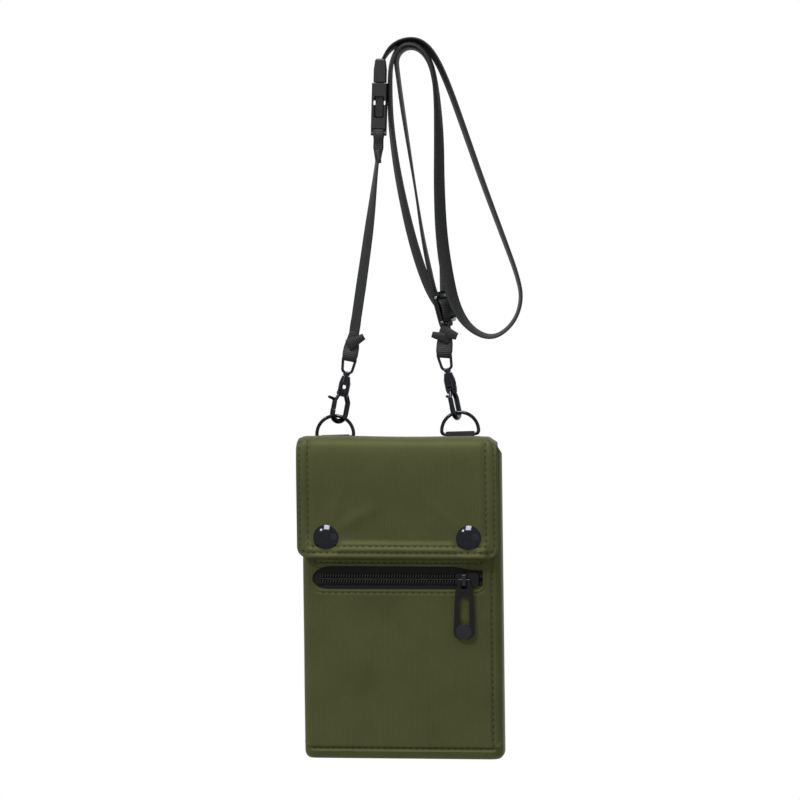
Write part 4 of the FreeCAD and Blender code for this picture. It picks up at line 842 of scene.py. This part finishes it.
class POUCH_OT_body(bpy.types.Operator):
    """Soft body of the pouch, its lining, pocket bag and ring tabs"""
    bl_idname = "pouch.body"
    bl_label = "Body"

    def execute(self, context):
        finish = materials()
        outer = shell_rings(0.0, True, FRONT_Y, BACK_Y, BACK_TOP)
        inner = shell_rings(WALL, False, FRONT_Y + WALL, BACK_Y - WALL, BACK_TOP)
        shell = shell_mesh("body_shell", outer, inner, finish["twill"])
        cut_window(shell)
        shell.data.set_sharp_from_angle(angle=math.radians(50))
        shell = join([shell] + self.seams(outer, finish["thread"]))
        dress(shell, "pouch", "shell_fabric", "front_panel", "gusset", "back_panel")
        self.lining(finish["lining"])
        self.pocket(finish["lining"])
        self.tabs(finish["tape"], finish["thread"])
        return {"FINISHED"}

    def seams(self, rings, thread):
        """Stitch rows: beside the right edge, along the bottom and round the zip window."""
        fronts = [front for front, _ in rings]
        heights = np.array([front[0, 2] for front in fronts])
        middle = FLAP_X - POUCH_X
        lines = [[(SEAM_SIDE, z) for z in np.arange(0.0064, 0.110, SEAM_STEP)]]
        for left, right, z in ((-0.052, SEAM_SIDE, SEAM_LOW),
                               (middle - 0.0485, middle + 0.0500, ZIP_Z + 0.0094),
                               (middle - 0.0440, middle + 0.0470, ZIP_Z - 0.0075)):
            lines.append([(x, z) for x in np.arange(left, right, SEAM_STEP)])
        made = []
        for i, line in enumerate(lines):
            points = []
            for x, z in line:
                front = fronts[int(np.argmin(np.abs(heights - z)))]
                y = np.interp(x, front[:, 0], front[:, 1])
                points.append((hang(x, z, ZIP_Z) + POUCH_X, y, z + POUCH_LOW))
            made.append(stitches("seam%d" % i, points, [(0, -1, 0)] * len(points), thread))
        return made

    def lining(self, finish):
        """Thin bag inside the body, behind the pocket bag."""
        top = MOUTH + LINING_OVER
        layers = [shell_rings(inset, False, FRONT_Y + LINING_ROOM + inset, BACK_Y - inset, top)
                  for inset in LINING_INSETS]
        made = shell_mesh("lining_bag", *layers, finish)
        dress(made, "pouch", "lining_fabric", "lining")

    def pocket(self, finish):
        """Flat bag behind the zip."""
        half, low, high = 0.0488, 0.0142, 0.1178
        xs = np.linspace(-half, half, 40)
        zs = np.linspace(low, high, 40)
        verts = []
        for layer in POCKET_LAYERS:
            for z in zs:
                for x in xs:
                    near = min(half - abs(x), z - low, high - z)
                    y = FRONT_Y + layer + POCKET_DEPTH * float(smooth_step(near, 0.0, POCKET_EDGE))
                    verts.append((x + POUCH_X, y, z + POUCH_LOW))
        size = len(xs) * len(zs)
        faces = grid_faces(len(zs), len(xs)) + grid_faces(len(zs), len(xs), size, flip=True)
        made = new_object("pocket_sheet", verts, faces, finish)
        dress(made, "pouch", "lining_fabric", "pocket_bag")

    def tabs(self, finish, thread):
        """Thin webbing tabs round the ring bars, sewn to the back."""
        up, along = lean_axes(-RING_TILT)
        shape = [(-0.00231, -0.0146), (-0.00231, -0.0050), (-0.00210, -0.0030), (-0.0003, -0.0014),
                 (0.0012, -0.0008), (0.0014, 0.0004), (0.0009, 0.0013), (-0.0003, 0.0014), (-0.0012, 0.0009),
                 (-0.0014, -0.0006), (-0.0026, -0.0030), (-0.00276, -0.0050), (-0.00276, -0.0146)]
        half, high, low = 0.0065, -0.0060, -0.0132
        sewn = [(-half, high), (half, high), (half, low), (-half, low), (-half, high)]
        for side, name in zip((-1, 1), SIDES):
            bar = RING_MIDDLE + along * (side * RING_HALF)
            line, at = even_line(route_line([tuple(bar + DEPTH * y + up * w) for y, w in shape]), TAB_STEP)
            made = strip("tab_" + name, line, at, along, TAB_W, finish, TAB_T)
            points = [bar - DEPTH * TAB_THREAD + along * x + up * w for x, w in sewn]
            made = join([made, stitches("tab_row", points, [DEPTH] * len(points), thread)])
            dress(made, "pouch", "webbing", "ring_tab_" + name)


# Flap

def flap_path():
    """Middle of the flap's thickness from the back, over the mouth and down the front, and distances along.

    The points are closer together over the lower hem.
    """
    corners = ((-0.0047, 0.1730), (-0.0046, 0.1765), (-0.0045, 0.1789), (-0.0080, 0.1789), (-0.0130, 0.1788),
               (-0.0186, 0.1789), (-0.0232, 0.1772), (-0.0247, 0.1715), (-0.0252, 0.1630), (-0.0254, 0.1500),
               (-0.0252, 0.1350), (-0.0249, 0.1240), (-0.0251, 0.1180), (-0.0255, 0.1127))
    line, at = even_line(route_line([(0, y, z) for y, z in corners]), FLAP_STEP)
    hem = at[-1] - np.arange(0, HEM_FINE, HEM_STEP)
    places = np.unique(np.round(np.concatenate([at[at < at[-1] - HEM_CLEAR], hem]), 7))
    return sample(line, at, places), places


class POUCH_OT_flap(bpy.types.Operator):
    """Padded flap with its stitch rows, in two pieces"""
    bl_idname = "pouch.flap"
    bl_label = "Flap"

    def execute(self, context):
        finish = materials()
        line, at = flap_path()
        self.total = at[-1]
        self.fold_at = at[int(np.argmax(line[:, 2] - 0.2 * np.abs(line[:, 1] - FLAP_FOLD_Y)))]
        split = int(np.argmin(np.abs(line[:, 1] - FLAP_SPLIT_Y) + (line[:, 2] < FLAP_TOP)))
        normal = np.cross(unit(np.gradient(line, axis=0)), np.array([1.0, 0, 0]))
        behind = slice(0, split + 1)
        ahead = slice(split, None)
        top = self.sheet("flap_top", line[behind], at[behind], normal[behind], finish["twill"], False)
        front = self.sheet("flap_front", line[ahead], at[ahead], normal[ahead], finish["twill"], True)
        front = join([front] + self.rows(line, at, normal, finish["thread"]))
        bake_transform(top)
        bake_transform(front)
        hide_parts("flap_bridge")
        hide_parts("flap_panel", "flap_lining")
        return {"FINISHED"}

    def half_widths(self, left):
        """Reach to the left and to the right at a distance above the lower edge: round corners."""
        inside = np.clip(left, 0, FLAP_CORNER)
        low = FLAP_CORNER - np.sqrt(np.maximum(0, FLAP_CORNER ** 2 - (FLAP_CORNER - inside) ** 2))
        fold = self.total - left - self.fold_at
        ease = 1 - smooth_step(abs(fold), 0.0, 0.0065)
        behind = smooth_step(-fold, -0.004, 0.010)
        return FLAP_HALF - low - 0.0005 * ease, FLAP_HALF - low - 0.0008 * ease - 0.0014 * behind

    def droop(self, x, left):
        """How much lower the ends of the fold hang, most at the right."""
        to_left, to_right = self.half_widths(left)
        near = 1 - smooth_step(self.total - left - self.fold_at, 0.006, 0.020)
        low_left = 0.0010 * (1 - smooth_step(x + to_left, 0.0, 0.0040))
        low_right = 0.0026 * (1 - smooth_step(to_right - x, 0.0, 0.0055))
        return near * (low_left + low_right)

    def edge(self, x, left):
        """Distance from the nearest edge, drawn in along the lower hem, which is deeper."""
        to_left, to_right = self.half_widths(left)
        side = np.minimum(x + to_left, to_right - x)
        return np.minimum(side, np.interp(left, [0, *HEM_LOW, 1], [0, *HEM_ROWS, 1]))

    def rise(self, x, left):
        """Height of the outside over the flap's middle: padded field, stitched hem, rolled edge."""
        edge = self.edge(x, left)
        puff = settings().puff
        below = float(smooth_step(self.total - left - self.fold_at, 0.0, 0.006))
        lower = smooth_step(np.minimum(x + FLAP_HALF, FLAP_HALF - x), 0.004, 0.008)
        lower = lower * (1 - smooth_step(left, 0.011, 0.013))
        rows = bump_line(edge, HEM_ROWS[0], 0.0005) + bump_line(edge, HEM_ROWS[1], 0.0006)
        field = puff * (lower + (1 - lower) * smooth_step(edge, 0.0068, 0.0100))
        pillow = 0.0003 * bump_line(edge, 0.0042, 0.0014)
        pressed = (0.00038 - 0.00022 * lower) * rows
        high = self.roll(edge) + puff + below * (field - puff + pillow - pressed)
        # Along the lower hem the cloth swells and leans out, but not under the snaps' caps
        clear = 1.0
        for snap in (-SNAP_X, SNAP_X):
            clear = np.minimum(clear, smooth_step(np.hypot(x - snap, left - SNAP_UP), 0.007, 0.011))
        swell = 0.0012 * (1 - smooth_step(left, 0.0068, 0.0108))
        inward = smooth_step(edge, 0.0012, 0.0036) * (1 - smooth_step(edge, 0.0060, 0.0068))
        slope = 0.0008 * inward * np.clip((HEM_ROWS[1] - edge) / 0.004, 0, 1)
        rim = 0.0007 * bump_line(edge, 0.0004, 0.0008)
        high = high + lower * (clear * (swell + slope) + rim)
        return high + self.creases(x, left) * smooth_step(edge, 0.007, 0.013)

    def creases(self, x, left):
        """Soft slack of the cloth: a slow wave and pulls that run up and inward from each snap."""
        high = 0.00025 * np.sin(x * 70 + left * 55)
        for side, turn, size in ((-1, 0.55, 0.0006), (1, 0.75, 0.0004), (-1, 1.25, 0.0004)):
            inward = -side * (x - side * SNAP_X)
            upward = left - SNAP_UP
            along = inward * math.cos(turn) + upward * math.sin(turn)
            off = upward * math.cos(turn) - inward * math.sin(turn)
            high = high + size * bump_line(off, 0.0, 0.0032) * bump_line(along, 0.019, 0.012)
        return high

    def roll(self, edge):
        """Half the thickness, rounded off at the edge."""
        inside = np.clip(edge / (FLAP_T / 2), 0, 1)
        return FLAP_T / 2 * np.sqrt(np.clip(1 - (1 - inside) ** 2, 0, 1))

    def place(self, x, point, left):
        """Middle of the flap's thickness at places across, in the frame."""
        return np.stack([hang(x, point[2], FLAP_LEVEL) + FLAP_X, np.full_like(x, point[1]),
                         point[2] + POUCH_LOW - self.droop(x, left)], 1)

    def sheet(self, name, line, at, normal, finish, end):
        """One of the flap's two pieces: a ring at each point of its path, and a lid at its start or end."""
        hem = np.concatenate([(1 - np.cos(np.linspace(0, math.pi / 2, 7))) * FLAP_T / 2,
                              np.arange(0.0014, 0.0110, 0.0004)])
        verts = []
        for point, place, out in zip(line, at, normal):
            left = self.total - place
            to_left, to_right = self.half_widths(left)
            field = np.linspace(hem[-1] - to_left, to_right - hem[-1], 80)[1:-1]
            x = np.concatenate([hem - to_left, field, (to_right - hem)[::-1]])
            base = self.place(x, point, left)
            verts += list(base + out * self.rise(x, left)[:, None])
            verts += list((base - out * self.roll(self.edge(x, left))[:, None])[::-1])
        columns = len(x)
        size = 2 * columns
        faces = grid_faces(len(line), size, wrap=True, flip=True)
        faces += lid_faces(columns, (len(line) - 1) * size if end else 0, flip=end)
        return new_object(name, verts, faces, finish)

    def rows(self, line, at, normal, thread):
        """Two stitch rows inside the sides and the lower edge."""
        made = []
        down = np.arange(self.fold_at + SEAM_STEP, self.total - 0.0075, SEAM_STEP)
        for i, (inset, low) in enumerate(zip(HEM_ROWS, HEM_LOW)):
            side = FLAP_HALF - inset
            corner = max(0.0012, FLAP_CORNER - inset)
            bend = [(side - corner + corner * math.cos(a), low + corner - corner * math.sin(a))
                    for a in np.linspace(0, math.pi / 2, 6)]
            path = [(-side, self.total - s) for s in down] + [(-x, left) for x, left in bend]
            path += [(x, low) for x in np.arange(-(side - corner) + 0.001, side - corner, SEAM_STEP)]
            path += bend[::-1] + [(side, self.total - s) for s in down[::-1]]
            points, normals = [], []
            for x, left in path:
                across = np.array([x])
                out = sample(normal, at, self.total - left)
                middle = self.place(across, sample(line, at, self.total - left), left)[0]
                points.append(middle + out * float(self.rise(across, left)[0]))
                normals.append(out)
            made.append(stitches("flap_row%d" % i, points, normals, thread))
        return made


# Zip

# Rings of one loop of the coil: place from the zip's middle, then shares of its width and of its depth
COIL_RINGS = ((-0.00045, 0.25, 0.7), (0.0003, 0.40, 0.5), (0.0009, 0.46, 0.15), (0.0016, 0.46, -0.1),
              (0.0024, 0.44, 0.0), (0.0031, 0.25, 0.4))
COIL_SIDES = 8
COIL_W = 0.0011
COIL_T = 0.0013
COIL_DEPTH = 0.0006
COIL_SLANT = 0.22
COIL_END = 0.0005
CORD_FRONT = 0.0004
CORD_R = 0.0003


class POUCH_OT_zip(bpy.types.Operator):
    """Zip tapes and coil"""
    bl_idname = "pouch.zip"
    bl_label = "Zip"

    def execute(self, context):
        finish = materials()
        for side, name in ((1, "upper"), (-1, "lower")):
            low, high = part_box("zip_tape_" + name)
            tape = self.tape("tape_" + name, side, low, high, finish["tape"])
            dress(tape, "pouch", "zip_tape", "zip_tape_" + name)
            coil = self.coil("coil_" + name, side, *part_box("zip_teeth_" + name), finish["coil"])
            dress(coil, "pouch", "zip_nylon", "zip_teeth_" + name)
        return {"FINISHED"}

    def tape(self, name, side, low, high, finish):
        """Flat tape whose inner edge runs in to the middle under the bottom stop, where both are sewn."""
        xs = np.linspace(low.x, high.x, 60)
        zs = np.linspace(low.z, high.z, 14)
        inner = zs[0] if side > 0 else zs[-1]
        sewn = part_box("zip_bottom_stop")[1].x
        verts = [(x, y, POUCH_LOW + ZIP_Z if z == inner and x < sewn else z)
                 for y in (low.y, high.y) for z in zs for x in xs]
        columns, rows = len(xs), len(zs)
        size = columns * rows
        faces = grid_faces(rows, columns) + grid_faces(rows, columns, size, flip=True)
        rim = (list(range(columns)) + [r * columns + columns - 1 for r in range(1, rows)]
               + [(rows - 1) * columns + c for c in range(columns - 2, -1, -1)]
               + [r * columns for r in range(rows - 2, 0, -1)])
        faces += [(b, a, size + a, size + b) for a, b in zip(rim, rim[1:] + rim[:1])]
        return new_object(name, verts, faces, finish, smooth=False)

    def coil(self, name, side, low, high, finish):
        """Monofilament loops side by side, each a slanted bar that hooks past the middle behind."""
        middle = POUCH_LOW + ZIP_Z
        y = (low.y + high.y) / 2
        ring = circle(COIL_SIDES)
        verts, faces = [], []
        for i in range(int((high.x - low.x) / ZIP_PITCH)):
            x = low.x + (i + (0.25 if side > 0 else 0.75)) * ZIP_PITCH
            faces += tube_faces(len(COIL_RINGS), COIL_SIDES, len(verts), flip=side < 0)
            for reach, wide, back in COIL_RINGS:
                verts += [(x + side * reach * COIL_SLANT + math.cos(a) * wide * COIL_W,
                           y + back * COIL_DEPTH + math.sin(a) * wide * COIL_T, middle + side * reach)
                          for a in ring]
        if side < 0:
            # The cord that the loops are sewn over shows between the two rows
            faces += grid_faces(2, COIL_SIDES, len(verts), wrap=True)
            for x in (low.x + COIL_END, high.x - COIL_END):
                verts += [(x, y - CORD_FRONT + math.sin(a) * CORD_R, middle + math.cos(a) * CORD_R)
                          for a in ring]
        return new_object(name, verts, faces, finish)


# Finish of the rigid pieces by how their names start
RIGID = (("nickel", ("snap_", "hook_body", "gate_", "swivel_eye", "d_ring")),
         ("enamel", ("zip_slider", "zip_pull", "zip_top", "zip_bottom")),
         ("plastic", ("buckle_",)), ("bright", ("adjuster",)))


class POUCH_OT_hardware(bpy.types.Operator):
    """Finishes of the rigid pieces that are shown as modelled"""
    bl_idname = "pouch.hardware"
    bl_label = "Hardware"

    def execute(self, context):
        finish = materials()
        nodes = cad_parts
        for name, item in nodes.items():
            for key, starts in RIGID:
                if name.startswith(starts) and not item.hide_render:
                    item.data.materials.clear()
                    item.data.materials.append(finish[key])
                    item.data.polygons.foreach_set("use_smooth", [True] * len(item.data.polygons))
                    item.data.set_sharp_from_angle(angle=math.radians(35))
        # The adjuster's middle gets the dark nickel, and its end bars keep the pale metal of painted glints
        up, _ = lean_axes(ADJUSTER_LEAN)
        self.second(nodes["adjuster"], finish["nickel"],
                    lambda p: abs((p - ADJUSTER).dot(up)) < ADJUSTER_MIDDLE)
        # The fronts of the pull and the slider get the lighter enamel, which is painted light
        for name, deep in (("zip_pull", 0.0001), ("zip_slider", 0.0030)):
            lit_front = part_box(name)[0].y + deep
            self.second(nodes[name], finish["painted_lit_enamel"], lambda p: p.y < lit_front)
        return {"FINISHED"}

    def second(self, item, finish, inside):
        """Another finish on the faces whose middle passes a test in the frame's own metres."""
        item.data.materials.append(finish)
        for face in item.data.polygons:
            if inside(item.matrix_world @ face.center):
                face.material_index = 1


WHITE = (1.0, 1.0, 1.0, 1.0)
FLOOR_R = 0.55
FLOOR_Z = -0.64
LAMP_AIM = Vector((0, -0.01, -0.25))
# Place, size and power of each lamp. The card is seen only in reflections
LAMPS = {
    "key": ((-1.0, -1.15, 0.95), 0.35, 16.0),
    "fill": ((1.1, -1.4, -0.1), 1.0, 1.6),
    "top": ((-0.1, -0.25, 1.0), 0.5, 8.0),
    "card": ((-0.08, -0.80, 1.02), 0.7, 45.0),
}
# The photograph's frame: its width at the pouch, and its middle across the view and up
VIEW_W = 0.450
VIEW_X = -0.00534
VIEW_Z = -0.1968
CAMERA_AWAY = 3.0
CAMERA_SENSOR = 36.0
CAMERA_REACH = 20.0


class POUCH_OT_stage(bpy.types.Operator):
    """Pale floor, soft light and the camera"""
    bl_idname = "pouch.stage"
    bl_label = "Stage"

    def execute(self, context):
        scene = context.scene
        self.floor()
        self.world(scene)
        for name, (place, size, power) in LAMPS.items():
            self.lamp(name, place, size, power)
        self.camera(scene)
        scene.view_settings.view_transform = "Standard"
        return {"FINISHED"}

    def camera(self, scene):
        """Camera at the photograph's angle, with its frame."""
        azimuth = settings().azimuth
        elevation = settings().elevation
        away = Vector((math.sin(azimuth) * math.cos(elevation), -math.cos(azimuth) * math.cos(elevation),
                       math.sin(elevation)))
        data = bpy.data.cameras.new("camera")
        data.sensor_width = CAMERA_SENSOR
        data.lens = CAMERA_SENSOR * CAMERA_AWAY / VIEW_W
        data.clip_end = CAMERA_REACH
        made = bpy.data.objects.new("camera", data)
        scene.collection.objects.link(made)
        made.location = Vector((VIEW_X / math.cos(azimuth), 0, VIEW_Z)) + away * CAMERA_AWAY
        made.rotation_mode = "QUATERNION"
        made.rotation_quaternion = (-away).to_track_quat("-Z", "Y")
        scene.camera = made

    def floor(self):
        """Pale paper under the pouch, which takes its shadow and fades to white towards the rim."""
        material, tree = new_material("Pale matt paper")
        place = add_node(tree, "ShaderNodeTexCoord", out="Object")
        away = add_node(tree, "ShaderNodeVectorMath", {0: place}, "Value", operation="LENGTH")
        fade = add_node(tree, "ShaderNodeMapRange", {"Value": away, "From Min": 0.1, "From Max": 0.5},
                        interpolation_type="SMOOTHSTEP")
        share = add_node(tree, "ShaderNodeMath", {0: fade, 1: self.shown(tree)}, operation="MULTIPLY")
        paper = add_node(tree, "ShaderNodeBsdfPrincipled",
                         {"Base Color": linear("#f4f4f2"), "Roughness": 0.9})
        white = add_node(tree, "ShaderNodeEmission", {"Color": WHITE, "Strength": 1.0})
        mix = add_node(tree, "ShaderNodeMixShader", {0: share, 1: paper, 2: white})
        add_node(tree, "ShaderNodeOutputMaterial", {"Surface": mix})
        rim = [(FLOOR_R * math.cos(a), FLOOR_R * math.sin(a), 0.0) for a in circle(64)]
        made = new_object("floor", rim, [tuple(range(len(rim)))], material)
        made.location.z = FLOOR_Z

    def world(self, scene):
        """White to the camera and in reflections, softer as a light."""
        world = bpy.data.worlds.new("White room")
        scene.world = world
        world.use_nodes = True
        tree = world.node_tree
        tree.nodes.clear()
        seen = add_node(tree, "ShaderNodeBackground", {"Color": WHITE, "Strength": 1.0})
        soft = add_node(tree, "ShaderNodeBackground", {"Color": WHITE, "Strength": 0.34})
        mix = add_node(tree, "ShaderNodeMixShader", {0: self.shown(tree), 1: soft, 2: seen})
        add_node(tree, "ShaderNodeOutputWorld", {"Surface": mix})

    def shown(self, tree):
        """1 where the surroundings are seen, straight, mirrored or through glass, and 0 where they light."""
        either = 0.0
        for ray in ("Is Camera Ray", "Is Glossy Ray", "Is Transmission Ray"):
            here = add_node(tree, "ShaderNodeLightPath", out=ray)
            either = add_node(tree, "ShaderNodeMath", {0: either, 1: here}, operation="MAXIMUM")
        return either

    def lamp(self, name, place, size, power):
        """Square soft light, turned to the pouch."""
        data = bpy.data.lights.new(name, "AREA")
        data.shape = "SQUARE"
        data.size = size
        data.energy = power
        made = bpy.data.objects.new(name, data)
        bpy.context.scene.collection.objects.link(made)
        made.location = place
        made.rotation_mode = "QUATERNION"
        made.rotation_quaternion = (LAMP_AIM - Vector(place)).to_track_quat("-Z", "Y")
        made.visible_diffuse = name != "card"


OPERATORS = (POUCH_OT_strap, POUCH_OT_body, POUCH_OT_flap, POUCH_OT_zip, POUCH_OT_hardware, POUCH_OT_stage)


class POUCH_PT_panel(bpy.types.Panel):
    """Sizes, colours and steps of the pouch"""
    bl_label = "Phone pouch"
    bl_idname = "POUCH_PT_panel"
    bl_space_type = "VIEW_3D"
    bl_region_type = "UI"
    bl_category = "Pouch"

    def draw(self, context):
        box = self.layout.column()
        for group, holder in ((PouchColours, "pouch_colours"), (PouchSettings, "pouch_settings")):
            for name in group.__annotations__:
                box.prop(getattr(context.scene, holder), name)
        for operator in OPERATORS:
            box.operator(operator.bl_idname)


CLASSES = (PouchColours, PouchSettings, *OPERATORS, POUCH_PT_panel)


def register():
    """Adds the classes, and the settings to every scene."""
    for item in CLASSES:
        bpy.utils.register_class(item)
    bpy.types.Scene.pouch_colours = PointerProperty(type=PouchColours)
    bpy.types.Scene.pouch_settings = PointerProperty(type=PouchSettings)


def unregister():
    """Takes the settings and the classes out again."""
    del bpy.types.Scene.pouch_settings
    del bpy.types.Scene.pouch_colours
    for item in reversed(CLASSES):
        bpy.utils.unregister_class(item)


def main():
    """Runs every step."""
    register()
    for operator in OPERATORS:
        group, name = operator.bl_idname.split(".")
        getattr(getattr(bpy.ops, group), name)()


if __name__ == "__main__":
    main()
